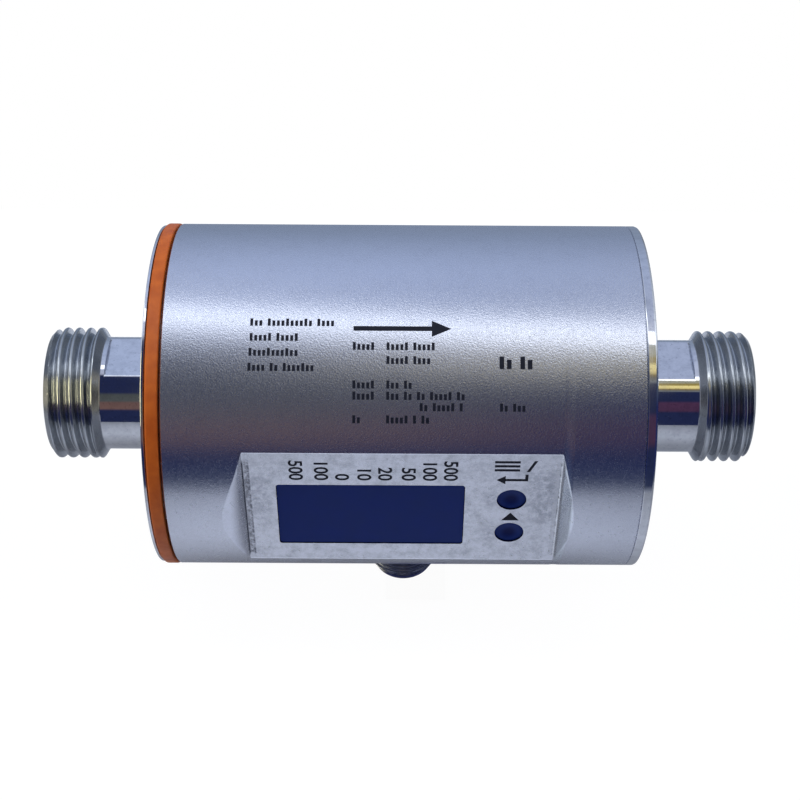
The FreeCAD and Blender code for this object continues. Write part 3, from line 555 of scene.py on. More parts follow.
# Plain finishes: two colours that they change between, roughness, other settings of coloured()
METAL = {"metallic": 1.0}
FINISHES = {
    "cut_thread": ((0.47, 0.49, 0.52), (0.4, 0.42, 0.45), 0.18,
                   {"size": 0.3 * MM, "grain": 0.03, "metallic": 1.0}),
    "ring_plastic": ((0.6, 0.134, 0.0155), (0.45, 0.086, 0.01), 0.42,
                     {"size": 0.6 * MM, "grain": 0.08, "specular": 0.25}),
    "seal_rubber": ((0.02, 0.02, 0.021), (0.03, 0.03, 0.03), 0.6, {}),
    "liner_plastic": ((0.6, 0.49, 0.34), (0.52, 0.42, 0.29), 0.45, {}),
    "electrode_steel": ((0.62, 0.62, 0.63), (0.55, 0.55, 0.56), 0.22, METAL),
    "soft_iron": ((0.22, 0.22, 0.23), (0.16, 0.155, 0.15), 0.5, METAL),
    "dark_plastic": ((0.02, 0.02, 0.022), (0.03, 0.03, 0.032), 0.5, {}),
    "copper": ((0.7, 0.33, 0.17), (0.58, 0.25, 0.12), 0.3, METAL),
    "board_laminate": ((0.02, 0.14, 0.06), (0.015, 0.11, 0.05), 0.4, {}),
    "window_plastic": ((0.0185, 0.036, 0.182), (0.0195, 0.037, 0.166), 0.2,
                       {"size": 0.8 * MM, "grain": 0.01, "specular": 0.03}),
    "plated_brass": ((0.26, 0.27, 0.32), (0.22, 0.23, 0.275), 0.15, METAL),
    "gold_contacts": ((0.85, 0.6, 0.24), (0.78, 0.53, 0.2), 0.2, METAL),
    "lead_jacket": ((0.035, 0.035, 0.038), (0.05, 0.05, 0.052), 0.5, {}),
    "print_ink": ((0.012, 0.014, 0.024), (0.017, 0.019, 0.03), 0.5,
                  {"size": 0.2 * MM, "specular": 0.08}),
}
LOOKS = {
    "blasted_steel": blasted_steel(),
    "polished_steel": polished_steel(),
    "turned_steel": turned_steel(),
    "button_rubber": button_rubber(),
}
for name, (colour, other, rough, settings) in FINISHES.items():
    LOOKS[name] = coloured(name, colour, other, rough, **settings)

for part in frame["record"]["subparts"]:
    node = frame["nodes"][part["node"]]
    node.data.materials.clear()
    node.data.materials.append(LOOKS[part["material_slot"]])


# Pipe fittings: flange, neck with two wrench flats, shoulder and pipe thread
SPIGOT_RADIUS = 24.9 * MM
SPIGOT_DEPTH = 3.9 * MM
SOCKET_RADIUS = 9.6 * MM
SOCKET_DEPTH = 4.5 * MM
GROOVE_RADIUS = 23.25 * MM
GROOVE_HALF = 1.0 * MM
OUTLET_FACE = SHELL_OUTLET + 1.5 * MM
OUTLET_THREAD = 50.77 * MM
LIP_NEAR = SHELL_INLET - 2.35 * MM
INLET_FACE = LIP_NEAR - 0.45 * MM
INLET_THREAD = -51.43 * MM
LIP_RADIUS = SHELL_RADIUS - 0.25 * MM
# Eased edges of the flanges: distance from the edge's face and drop below the radius, in mm
OUTLET_NEAR_EDGE = ((0.0, 0.15), (0.05, 0.04), (0.15, 0.0), (0.19, 0.0))
OUTLET_FAR_EDGE = ((0.34, 0.0), (0.3, 0.0), (0.1, 0.08), (0.0, 0.3))
INLET_NEAR_EDGE = ((0.0, 0.05), (0.05, 0.0), (0.08, 0.0))
INLET_FAR_EDGE = ((0.13, 0.0), (0.1, 0.0), (0.03, 0.03), (0.0, 0.1))
# Turns of the points at each edge of the wrench flats, and the room that they take, in degrees
NECK_TURNS = 180
EDGE_TURNS = (-1.2, -0.5, 0.0, 0.5, 1.2)
EDGE_ROOM = 1.8
NECK_EASE = 0.05 * MM
CREASE_DEPTH = 0.1 * MM
CREASE_RUN = 0.3 * MM
# Distances of the groove's start, edge and bottom from the end of the flats
CREASE_START, CREASE_EDGE, CREASE_BOTTOM = 0.2 * MM, 0.16 * MM, 0.08 * MM
THREAD_RINGS = 232
THREAD_FADE = 0.8 * MM
CONE_EASE = 0.1 * MM
BORE_EASE = 0.25 * MM
# Faces whose normal has this much of the axis in it are faced ends
FACED = 0.99
FITTING_CREASE = math.radians(28)


def neck_angles():
    """Angles round the axis, closer together at the edges of the flats."""
    edge = math.asin(WRENCH_HALF / NECK_RADIUS)
    edges = [edge, math.pi - edge, math.pi + edge, 2 * math.pi - edge]
    close = [e + math.radians(d) for e in edges for d in EDGE_TURNS]
    plain = [a for a in turns(NECK_TURNS) if min(abs(a - e) for e in edges) > math.radians(EDGE_ROOM)]
    return sorted(plain + close)


def flatted(angle):
    """Radius of the neck's section where the flats are, with the edges eased."""
    flat = WRENCH_HALF / max(abs(math.sin(angle)), 1e-6)
    gap = flat - NECK_RADIUS
    return (flat + NECK_RADIUS - math.hypot(gap, NECK_EASE)) / 2


def creased(angle):
    """Radius at the bottom of the tool's groove at the end of a flat, which fades on the round."""
    radius = flatted(angle)
    return radius - CREASE_DEPTH * min((NECK_RADIUS - radius) / CREASE_RUN, 1.0)


def pipe_thread(side, start):
    """Profile corners from the shoulder to the pipe's end; start is where a crest meets angle 0."""
    foot = PIPE_END - THREAD_LENGTH
    corners = []
    for i in range(THREAD_RINGS + 1):
        x = foot + THREAD_LENGTH * i / THREAD_RINGS
        fade = smooth_step(foot, foot + THREAD_FADE, x)
        chamfer = THREAD_CREST - THREAD_CHAMFER + (PIPE_END - x)
        corners.append((side * x, threaded(*PIPE_THREAD, side * x - start, fade, chamfer)))
    return corners


def groove(middle):
    return [(middle - GROOVE_HALF, SPIGOT_RADIUS), (middle - GROOVE_HALF, GROOVE_RADIUS),
            (middle + GROOVE_HALF, GROOVE_RADIUS), (middle + GROOVE_HALF, SPIGOT_RADIUS)]


def eased(face, sign, radius, edge):
    return [(face + sign * along * MM, radius - drop * MM) for along, drop in edge]


def fitting(name, side, shell_end, near_face, face, radius, near_edge, far_edge, start):
    """Turned fitting whose flange lies between two faces; start is as in pipe_thread."""
    spigot = shell_end - side * SPIGOT_DEPTH
    socket = spigot + side * SOCKET_DEPTH
    foot = PIPE_END - THREAD_LENGTH
    neck_end = foot - THREAD_SHOULDER
    flat_end = neck_end - NECK_LAND
    profile = [(spigot, SOCKET_RADIUS), (spigot, SPIGOT_RADIUS)]
    profile += groove(shell_end - side * SPIGOT_DEPTH / 2)[::side]
    profile.append((near_face, SPIGOT_RADIUS))
    profile += eased(near_face, side, radius, near_edge)
    profile += eased(face, -side, radius, far_edge)
    profile += [
        (face, SPOT_RADIUS),
        (face, flatted),
        (side * (flat_end - CREASE_START), flatted),
        (side * (flat_end - CREASE_EDGE), flatted),
        (side * (flat_end - CREASE_BOTTOM), creased),
        (side * flat_end, flatted),
        (side * flat_end, NECK_RADIUS),
        (side * neck_end, NECK_RADIUS),
        (side * (neck_end + 1.2 * CONE_EASE), NECK_RADIUS + CONE_EASE),
        (side * (foot - CONE_EASE), THREAD_CREST - CONE_EASE),
    ]
    profile += pipe_thread(side, start)
    profile += [
        (side * PIPE_END, FLOW_RADIUS + BORE_EASE),
        (side * (PIPE_END - BORE_EASE), FLOW_RADIUS),
        (socket, FLOW_RADIUS),
        (socket, SOCKET_RADIUS),
    ]
    mesh = new_mesh(name, *loft(spin(profile, neck_angles(), round_meter)), crease=FITTING_CREASE)
    piece = add_piece(name + "_finish", mesh, "polished_steel", stands_for=name)
    mesh.materials.append(LOOKS["cut_thread"])
    mesh.materials.append(LOOKS["turned_steel"])
    for polygon in mesh.polygons:
        middle = polygon.center
        away = math.hypot(middle.y, middle.z)
        faced = polygon.normal.x * side > FACED
        if abs(middle.x) > neck_end + CONE_EASE and away > FLOW_RADIUS + 2 * BORE_EASE:
            polygon.material_index = 2 if faced else 1
        elif faced and away > SPOT_RADIUS:
            polygon.material_index = 2
    return piece


fitting("outlet_fitting", 1, SHELL_OUTLET, SHELL_OUTLET, OUTLET_FACE, SHELL_RADIUS,
        OUTLET_NEAR_EDGE, OUTLET_FAR_EDGE, OUTLET_THREAD)
fitting("inlet_fitting", -1, SHELL_INLET, LIP_NEAR, INLET_FACE, LIP_RADIUS,
        INLET_NEAR_EDGE, INLET_FAR_EDGE, INLET_THREAD)


# Coloured ring between the inlet flange and the shell
RING_EASE = 0.3 * MM
RING_CLEARANCE = 0.1 * MM
RING_TURNS = 240
RING_BENDS = [math.radians(degrees) for degrees in (0, 18, 36, 54, 72, 90)]


def accent_ring():
    low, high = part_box("accent_ring")
    inner = SPIGOT_RADIUS + RING_CLEARANCE
    corners = []
    for x, sign in ((high.x, -1), (low.x, 1)):
        arc = [(x + sign * RING_EASE * (1 - math.cos(t)), high.z - RING_EASE * (1 - math.sin(t)))
               for t in RING_BENDS]
        corners += arc if sign < 0 else arc[::-1]
    profile = [(high.x, inner)] + corners + [(low.x, inner)]
    mesh = new_mesh("accent_ring", *loft(spin(profile, turns(RING_TURNS), round_meter)))
    return add_piece("accent_ring_finish", mesh, "ring_plastic", stands_for="accent_ring")


accent_ring()


# Housing shell: a tube with a flat pressed in for the display
FOOT_STEPS = 10
LIP_STEPS = 20
HOLE_TURNS = 96
SHELL_CREASE = math.radians(12)


def recess_profile(height, shift, foot, lips, top):
    """(x, distance in front of the axis) along the recess: floor, rounded foot, slope, rounded lip."""
    corners = []
    tangent_foot = foot * math.tan(END_SLOPE / 2)
    run = (top - height) / math.tan(END_SLOPE)
    for end, sign, lip in ((FLAT_LEFT, -1, lips[0]), (FLAT_RIGHT, 1, lips[1])):
        tangent_lip = lip * math.tan(END_SLOPE / 2)
        base = end + sign * shift
        arc = []
        for i in range(FOOT_STEPS + 1):
            t = END_SLOPE * i / FOOT_STEPS
            along = foot * math.sin(t) - tangent_foot
            arc.append((base + sign * along, height + foot * (1 - math.cos(t))))
        for i in range(LIP_STEPS + 1):
            t = END_SLOPE * (1 - i / LIP_STEPS)
            along = run + tangent_lip - lip * math.sin(t)
            arc.append((base + sign * along, top - lip * (1 - math.cos(t))))
        corners.append(arc)
    return corners[0][::-1] + corners[1]


# Columns within this angle of the display's normal follow the edge of the flat
COLUMN_SWING = math.radians(60)


def shell_ring(x, radius, height=SHELL_RADIUS, outer_count=300, inner_count=16):
    """A ring of the tube at x, flattened in front where the recess is lower than the radius."""
    half = math.acos(min(height / radius, 1.0))
    side_count = outer_count // 6
    turns_up = [half + (COLUMN_SWING - half) * j / side_count for j in range(side_count)]
    plain_count = outer_count - 2 * side_count
    plain_swing = 2 * math.pi - 2 * COLUMN_SWING
    turns_over = [COLUMN_SWING + plain_swing * j / plain_count for j in range(plain_count + 1)]
    turns_down = [2 * math.pi - turn for turn in turns_up[::-1]]
    ring = [Vector((x, -radius * math.cos(t), radius * math.sin(t)))
            for t in turns_up + turns_over + turns_down]
    reach = radius * math.sin(half)
    depth = radius * math.cos(half)
    for i in range(1, inner_count):
        ring.append(Vector((x, -depth, -reach + 2 * reach * i / inner_count)))
    return ring


def round_box(centre, size, corner, front, back, steps=8):
    """Rings of a rounded box seen from the display side, from one distance in front to another."""
    half_x = size[0] / 2 - corner
    half_z = size[1] / 2 - corner
    outline = []
    for quarter, (sx, sz) in enumerate(((1, 1), (-1, 1), (-1, -1), (1, -1))):
        for i in range(steps + 1):
            t = math.pi / 2 * (quarter + i / steps)
            outline.append((centre[0] + sx * half_x + corner * math.cos(t),
                            centre[1] + sz * half_z + corner * math.sin(t)))
    return [[Vector((x, -y, z)) for x, z in outline] for y in (front, back)]


def cut_holes(mesh, cutters):
    """The mesh less the cutters, as a new mesh."""
    body = add_object("shell_blank", mesh)
    tools = []
    for i, rings in enumerate(cutters):
        name = "cutter_%d" % i
        tool = add_object(name, new_mesh(name, *loft(rings, closed=False)))
        tools.append(tool)
        step = body.modifiers.new("cut_%d" % i, "BOOLEAN")
        step.operation = "DIFFERENCE"
        step.solver = "EXACT"
        step.object = tool
    graph = bpy.context.evaluated_depsgraph_get()
    result = bpy.data.meshes.new_from_object(body.evaluated_get(graph))
    for thing in [body] + tools:
        bpy.data.objects.remove(thing)
    return result


# The end walls' own edges start this far from the flat
WALL_FOOT = 0.6 * MM


def soften_walls(mesh):
    """Let the end walls of the flat run softly into the round of the shell."""
    for edge in mesh.edges:
        ends = [mesh.vertices[i].co for i in edge.vertices]
        in_front = all(end.y < -FLAT_HEIGHT for end in ends)
        beside = all(SHELL_INLET + MM < end.x < FLAT_LEFT - WALL_FOOT
                     or FLAT_RIGHT + WALL_FOOT < end.x < SHELL_OUTLET - MM for end in ends)
        if in_front and beside:
            edge.use_edge_sharp = False


def housing_shell():
    bore = SHELL_RADIUS - SHELL_WALL
    back = FLAT_HEIGHT - SHELL_WALL
    shift = SHELL_WALL * math.tan(END_SLOPE / 2)
    outside = recess_profile(FLAT_HEIGHT, 0.0, END_FOOT, (LEFT_LIP, RIGHT_LIP), SHELL_RADIUS + LIP_LEAD)
    inside = recess_profile(back, shift, END_FOOT, (END_FOOT, END_FOOT), bore + LIP_LEAD)
    rim = SHELL_RADIUS - SHELL_EDGE
    sections = [(SHELL_INLET, rim), (SHELL_INLET + SHELL_EDGE, SHELL_RADIUS)]
    sections += [(x, SHELL_RADIUS, height) for x, height in outside]
    sections += [(SHELL_OUTLET - SHELL_EDGE, SHELL_RADIUS), (SHELL_OUTLET, rim), (SHELL_OUTLET, bore)]
    sections += [(x, bore, height) for x, height in inside[::-1]]
    sections.append((SHELL_INLET, bore))
    rings = [shell_ring(*section) for section in sections]
    blank = new_mesh("housing_shell", *loft(rings), crease=SHELL_CREASE)
    front = SHELL_RADIUS + SHELL_WALL
    rear = back - SHELL_WALL
    cutters = [round_box(WINDOW_CENTRE, WINDOW_SIZE, WINDOW_CORNER, front, rear)]
    holes = [(BUTTON_HOLE, round_button(height)) for height in BUTTON_HEIGHTS.values()]
    for radius, point in holes + [(CONNECTOR_HOLE, round_connector)]:
        cutters.append(spin([(-front, radius), (-rear, radius)], turns(HOLE_TURNS), point))
    mesh = cut_holes(blank, cutters)
    shade(mesh, SHELL_CREASE)
    soften_walls(mesh)
    return add_piece("housing_shell_finish", mesh, "blasted_steel", stands_for="housing_shell")


housing_shell()


# Connector sleeve with its thread
SLEEVE_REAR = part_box("connector_sleeve")[1].z
SHANK_RADIUS = 5.4 * MM
SLEEVE_SOCKET = 4.35 * MM
SLEEVE_BORE = 4.05 * MM
SOCKET_FLOOR = CONNECTOR_END + 9.0 * MM
SLEEVE_TAPER = 2.1 * MM
SLEEVE_RIM = 5.05 * MM
SLEEVE_EASE = 0.2 * MM
SLEEVE_RINGS = 120
SLEEVE_TURNS = 160


def connector_sleeve():
    profile = [(SLEEVE_REAR, SLEEVE_BORE), (SLEEVE_REAR, SHANK_RADIUS), (BOSS_FACE, SHANK_RADIUS)]
    taper = CONNECTOR_END + SLEEVE_TAPER
    for i in range(SLEEVE_RINGS + 1):
        z = BOSS_FACE + (CONNECTOR_END - BOSS_FACE) * i / SLEEVE_RINGS
        fade = smooth_step(BOSS_FACE, BOSS_FACE - THREAD_FADE, z)
        narrower = (CONNECTOR_RADIUS - SLEEVE_RIM) * max(taper - z, 0.0) / SLEEVE_TAPER
        profile.append((z, threaded(*CONNECTOR_THREAD, z, fade, CONNECTOR_RADIUS - narrower)))
    profile += [
        (CONNECTOR_END, SLEEVE_SOCKET + SLEEVE_EASE),
        (CONNECTOR_END + SLEEVE_EASE, SLEEVE_SOCKET),
        (SOCKET_FLOOR, SLEEVE_SOCKET),
        (SOCKET_FLOOR, SLEEVE_BORE),
    ]
    rings = spin(profile, turns(SLEEVE_TURNS), round_connector)
    mesh = new_mesh("connector_sleeve", *loft(rings))
    return add_piece("connector_sleeve_finish", mesh, "plated_brass", stands_for="connector_sleeve")


connector_sleeve()

# Printed marks: a scale of plain numbers by the window, signs by the buttons, blocks and an arrow on the
# shell. Places of the numbers along x in mm.
INK = 0.02 * MM
SCALE_NUMBERS = ("500", "100", "0", "10", "20", "50", "100", "500")
SCALE_PLACES = (-15.2, -11.5, -8.45, -5.2, -2.15, 1.3, 4.4, 7.45)
SCALE_FOOT = 6.05 * MM
SCALE_HEIGHT = 2.85 * MM
SCALE_BOLD = 0.045 * MM


def add_print(name, mesh):
    return add_piece(name, mesh, "button_rubber", look="print_ink")


def flat_print(name, outlines):
    """Thin ink areas on the flat; each outline is a list of (x, z) corners."""
    heights = (FLAT_HEIGHT + INK, FLAT_HEIGHT - INK)
    parts = [[[Vector((x, -y, z)) for x, z in outline] for y in heights] for outline in outlines]
    return add_print(name, new_mesh(name, *join_lofts(parts)))


def scale_number(word, x, index):
    """A number that reads from above the window downwards, its foot near the window."""
    curve = bpy.data.curves.new("scale_%d" % index, "FONT")
    curve.body = word
    curve.size = SCALE_HEIGHT
    curve.align_x = "RIGHT"
    curve.align_y = "CENTER"
    curve.extrude = INK
    curve.offset = SCALE_BOLD
    text = bpy.data.objects.new("scale_%d" % index, curve)
    mesh = bpy.data.meshes.new_from_object(text)
    bpy.data.objects.remove(text)
    turn = Matrix(((0, 1, 0), (0, 0, -1), (-1, 0, 0))).to_4x4()
    mesh.transform(Matrix.Translation((x, -FLAT_HEIGHT, SCALE_FOOT)) @ turn)
    return add_print("scale_number_%d" % index, mesh)


for index, (word, place) in enumerate(zip(SCALE_NUMBERS, SCALE_PLACES)):
    scale_number(word, place * MM, index)


def points(*corners):
    return [(x * MM, z * MM) for x, z in corners]


def bar(left, low, right, high):
    return points((left, low), (right, low), (right, high), (left, high))


flat_print("mode_sign", [
    bar(13.9, 9.9, 17.6, 10.35),
    bar(13.9, 9.05, 17.6, 9.5),
    bar(13.9, 8.2, 17.6, 8.65),
    points((18.6, 8.1), (19.05, 8.1), (20.1, 10.4), (19.65, 10.4)),
    bar(15.5, 6.1, 18.9, 6.55),
    bar(18.45, 6.55, 18.9, 7.5),
    points((14.3, 6.325), (15.6, 5.45), (15.6, 7.2)),
])
flat_print("set_sign", [points((15.4, -2.6), (18.0, -2.6), (16.7, -0.9))])

# Blocks in place of the shell's print, in rows above the display, and an arrow along the flow. Heights
# run along the shell's curve from the middle of the flat, all in mm.
BLOCK_PITCH = 0.66
BLOCK_WIDTH = 0.42
BLOCK_HEIGHT = 0.86
BLOCK_TALL = 1.16
WORD_GAP = 0.55
TALL_EVERY = 4
# Rows of (height, start, numbers of blocks in the words) and a size where it isn't 1
LEFT_ROWS = (
    (31.35, -21.6, (3, 10, 4)), (29.05, -21.6, (5, 5)),
    (26.8, -21.7, (11,)), (24.6, -21.8, (4, 2, 7)),
)
MIDDLE_ROWS = (
    (27.75, -6.75, (5,)), (27.75, -1.9, (5, 5)), (25.7, -1.9, (5, 4)),
    (22.15, -6.75, (5,)), (22.15, -1.9, (3, 2)),
    (20.55, -6.75, (5,)), (20.55, -1.9, (3, 2, 2, 5, 2)),
    (18.95, 2.9, (2, 5, 1)), (17.15, -6.75, (2,)), (17.15, -1.9, (5, 1, 2)),
)
RIGHT_ROWS = (
    (25.3, 14.3, (2, 2), 1.6), (18.95, 14.4, (2, 3)),
)
ARROW_AT = 30.6
ARROW_SPAN = (-6.7, 7.4)
ARROW_HALF = 0.36
ARROW_HEAD = (1.25, 2.8)
ARROW_STEPS = 8
ARROW_TIP = 0.01


def shell_print(name, strips):
    """Thin ink areas on the shell; a strip lists (height along the curve, left x, right x) in mm."""
    parts = []
    for strip in strips:
        rings = []
        for height, left, right in strip:
            turn = height * MM / SHELL_RADIUS
            ring = []
            for x, side in ((left, 1), (right, 1), (right, -1), (left, -1)):
                radius = SHELL_RADIUS + side * INK
                ring.append(Vector((x * MM, -radius * math.cos(turn), radius * math.sin(turn))))
            rings.append(ring)
        parts.append(rings)
    return add_print(name, new_mesh(name, *join_lofts(parts)))


def words(height, start, counts, size=1.0):
    """Strips for the blocks of one row."""
    strips = []
    foot = height - size * BLOCK_HEIGHT / 2
    for count in counts:
        for k in range(count):
            left = start + size * k * BLOCK_PITCH
            right = left + size * BLOCK_WIDTH
            top = size * (BLOCK_TALL if k % TALL_EVERY == 0 else BLOCK_HEIGHT)
            strips.append([(foot + rise, left, right) for rise in (0.0, top / 2, top)])
        start += size * (count * BLOCK_PITCH + WORD_GAP)
    return strips


def arrow_head(height, tip, half, depth):
    levels = [-half + 2 * half * i / ARROW_STEPS for i in range(ARROW_STEPS + 1)]
    back = tip - depth
    return [(height + at, back, tip - depth * abs(at) / half + ARROW_TIP) for at in levels]


PRINTED_ROWS = {"blocks_left": LEFT_ROWS, "blocks_middle": MIDDLE_ROWS, "blocks_right": RIGHT_ROWS}
for name, rows in PRINTED_ROWS.items():
    shell_print(name, [strip for row in rows for strip in words(*row)])
tail, tip = ARROW_SPAN
shaft = [(ARROW_AT + ARROW_HALF * k, tail, tip - ARROW_HEAD[1]) for k in (-1, 0, 1)]
shell_print("flow_arrow", [shaft, arrow_head(ARROW_AT, tip, *ARROW_HEAD)])

# Camera, fitted to the photograph's outline points
CAMERA_DISTANCE = 250.1 * MM
CAMERA_ELEVATION = math.radians(44.4)
CAMERA_ROLL = math.radians(0.33)
FOCAL_PIXELS = 1560.0
FRAME_PIXELS = 800.0
AIM_PIXEL = (399.54, 394.33)
SENSOR_WIDTH = 36.0
CLIP_START = 0.01


def camera():
    data = bpy.data.cameras.new("camera")
    data.sensor_width = SENSOR_WIDTH
    data.lens = FOCAL_PIXELS * SENSOR_WIDTH / FRAME_PIXELS
    data.shift_x = (FRAME_PIXELS / 2 - AIM_PIXEL[0]) / FRAME_PIXELS
    data.shift_y = (AIM_PIXEL[1] - FRAME_PIXELS / 2) / FRAME_PIXELS
    data.clip_start = CLIP_START
    thing = add_object("camera", data)
    place = Vector((0.0, -math.cos(CAMERA_ELEVATION), math.sin(CAMERA_ELEVATION))) * CAMERA_DISTANCE
    thing.matrix_world = (
        Matrix.Translation(place)
        @ Matrix.Rotation(math.pi / 2 - CAMERA_ELEVATION, 4, "X")
        @ Matrix.Rotation(CAMERA_ROLL, 4, "Z")
    )
    bpy.context.scene.camera = thing


camera()

# Stage: pale floor, studio surround and lamps
FLOOR_FRONT = -0.14
FLOOR_BACK = 0.1
FLOOR_HALF = 0.17
FLOOR_MIDDLE = (0.79, 0.825, 0.905)
FLOOR_ENDS = (0.41, 0.43, 0.475)
FLOOR_MIRRORED = 0.04
FLOOR_SHOWN = 0.88
FLOOR_WHITE = 1.1
FLOOR_DROP = 0.1 * MM
MIDDLE_X = -0.003
MIDDLE_HALF = 0.014
MIDDLE_SOFT = 0.062
# Shares of the floor's colour taken away: painted shade under the meter, and less towards the front
SHADE_HALF = 0.018
SHADE_SOFT = 0.026
SHADE_SHARE = 0.28
FALL_START = -0.04
FALL_STOP = -0.125
FALL_SHARE = 0.35
# Painted shadow on the floor under the connector, also a painted dark reflection in the metal: middle,
# half sizes, colour in light, glow in the metal
SHADOW_PATCH_SOFT = 0.0008
SHADOW_PATCH_MIDDLE = (0.003, -0.0035)
SHADOW_PATCH_HALF = (0.005, 0.006)
SHADOW_PATCH_LIT = (0.03, 0.04, 0.1)
SHADOW_PATCH_GLOW = (0.03, 0.036, 0.11)
# Colours of the surround by the angle round the X axis, from below the back (-180) by the front (0) and
# the top (90) to the back (180)
DARK = (0.02, 0.028, 0.085)
DARK_SIDE = (0.022, 0.032, 0.125)
BEHIND = (0.3, 0.37, 0.5)
UNDERNEATH = (
    (-180, BEHIND), (-130, (0.2, 0.24, 0.32)), (-60, (0.4, 0.44, 0.52)), (-24, (0.46, 0.5, 0.6)),
)
SURROUND_END_LEFT = ((-180, (0.6, 0.55, 0.42)), (180, (0.6, 0.55, 0.42)))
SURROUND_END_RIGHT = ((-180, (0.5, 0.52, 0.56)), (180, (0.5, 0.52, 0.56)))
SURROUND_FAR_LEFT = (
    (-180, (0.16, 0.19, 0.25)), (-90, (0.16, 0.17, 0.2)), (-40, (0.12, 0.13, 0.16)), (-26, DARK),
    (-18, DARK), (-6, (0.22, 0.2, 0.15)), (92, (0.34, 0.32, 0.26)), (104, (0.4, 0.42, 0.45)),
    (130, (0.3, 0.33, 0.38)), (180, (0.16, 0.19, 0.25)),
)
SURROUND_LEFT = (
    *UNDERNEATH, (-19, DARK), (8, DARK), (12, (0.2, 0.115, 0.1)), (24, (0.17, 0.1, 0.09)),
    (28, (0.095, 0.105, 0.105)), (40, (0.085, 0.095, 0.095)), (45, DARK), (79, DARK),
    (83, (0.6, 0.64, 0.8)), (104, (0.62, 0.7, 0.92)), (134, (0.55, 0.65, 0.9)), (180, BEHIND),
)
SURROUND_MIDDLE_LEFT = (
    *UNDERNEATH, (-19, (0.07, 0.09, 0.145)), (-8, (0.034, 0.048, 0.105)), (4, (0.03, 0.042, 0.1)),
    (12, (0.215, 0.15, 0.15)), (24, (0.26, 0.195, 0.185)), (36, (0.215, 0.205, 0.19)),
    (48, (0.125, 0.135, 0.145)), (62, (0.05, 0.065, 0.1)), (74, (0.12, 0.16, 0.26)),
    (84, (0.7, 0.8, 1.0)), (96, (0.92, 1.0, 1.16)), (108, (0.74, 0.84, 1.1)),
    (134, (0.62, 0.73, 1.0)), (180, BEHIND),
)
SURROUND_MIDDLE_RIGHT = (
    *UNDERNEATH, (-19, (0.07, 0.09, 0.145)), (-8, (0.032, 0.045, 0.108)), (7, (0.026, 0.036, 0.1)),
    (12, (0.058, 0.042, 0.08)), (24, (0.058, 0.048, 0.085)), (33, (0.042, 0.046, 0.085)),
    (46, (0.105, 0.108, 0.125)), (60, (0.55, 0.535, 0.49)), (74, (0.93, 0.93, 0.92)),
    (86, (1.0, 1.02, 1.1)), (92, (0.72, 0.77, 0.9)), (98, (0.35, 0.42, 0.6)),
    (116, (0.4, 0.48, 0.68)), (134, (0.51, 0.61, 0.84)), (180, BEHIND),
)
SURROUND_RIGHT = (
    *UNDERNEATH, (-17, DARK), (10, DARK), (14, (0.085, 0.038, 0.085)), (30, (0.09, 0.04, 0.09)),
    (34, DARK), (52, DARK), (53.5, (0.22, 0.24, 0.26)), (56, (0.2, 0.18, 0.14)),
    (57.5, (0.22, 0.15, 0.05)), (60, (1.1, 0.9, 0.36)), (64.5, (1.25, 1.05, 0.42)),
    (66, (0.45, 0.33, 0.08)), (69, (0.42, 0.33, 0.1)), (71, (0.46, 0.44, 0.3)),
    (77, (0.42, 0.42, 0.34)), (78.5, (1.5, 1.5, 1.5)), (82, (1.5, 1.5, 1.5)), (84, (0.7, 0.76, 0.94)),
    (134, (0.52, 0.6, 0.82)), (180, BEHIND),
)
SURROUND_SIDE = (
    (-180, (0.24, 0.27, 0.32)), (-90, (0.2, 0.22, 0.25)), (-22, (0.14, 0.16, 0.2)), (-12, DARK_SIDE),
    (36, DARK_SIDE), (48, (0.075, 0.095, 0.15)), (70, (0.13, 0.16, 0.23)), (84, (1.02, 1.09, 1.2)),
    (92, (1.22, 1.3, 1.42)), (104, (0.8, 0.87, 0.98)), (130, (0.58, 0.64, 0.74)),
    (180, (0.24, 0.27, 0.32)),
)
# The zones from left to right, each with the range of the direction's X over which it comes in
SURROUND_ZONES = (
    (SURROUND_FAR_LEFT, -0.96, -0.94),
    (SURROUND_SIDE, -0.84, -0.76),
    (SURROUND_LEFT, -0.255, -0.225),
    (SURROUND_MIDDLE_LEFT, -0.163, -0.147),
    (SURROUND_MIDDLE_RIGHT, -0.12, 0.1),
    (SURROUND_RIGHT, 0.147, 0.163),
    (SURROUND_SIDE, 0.21, 0.26),
    (SURROUND_END_RIGHT, 0.94, 0.97),
)


def seen(tree):
    """1 for what the camera sees, straight or through something clear."""
    rays = add_node(tree, "ShaderNodeLightPath")
    return calculate(tree, "MAXIMUM", rays.outputs["Is Camera Ray"], rays.outputs["Is Transmission Ray"])


def mix_shaders(tree, factor, first, second):
    mix = add_node(tree, "ShaderNodeMixShader")
    for socket, source in zip(mix.inputs, (factor, first.outputs[0], second.outputs[0])):
        feed(tree, socket, source)
    return mix.outputs[0]


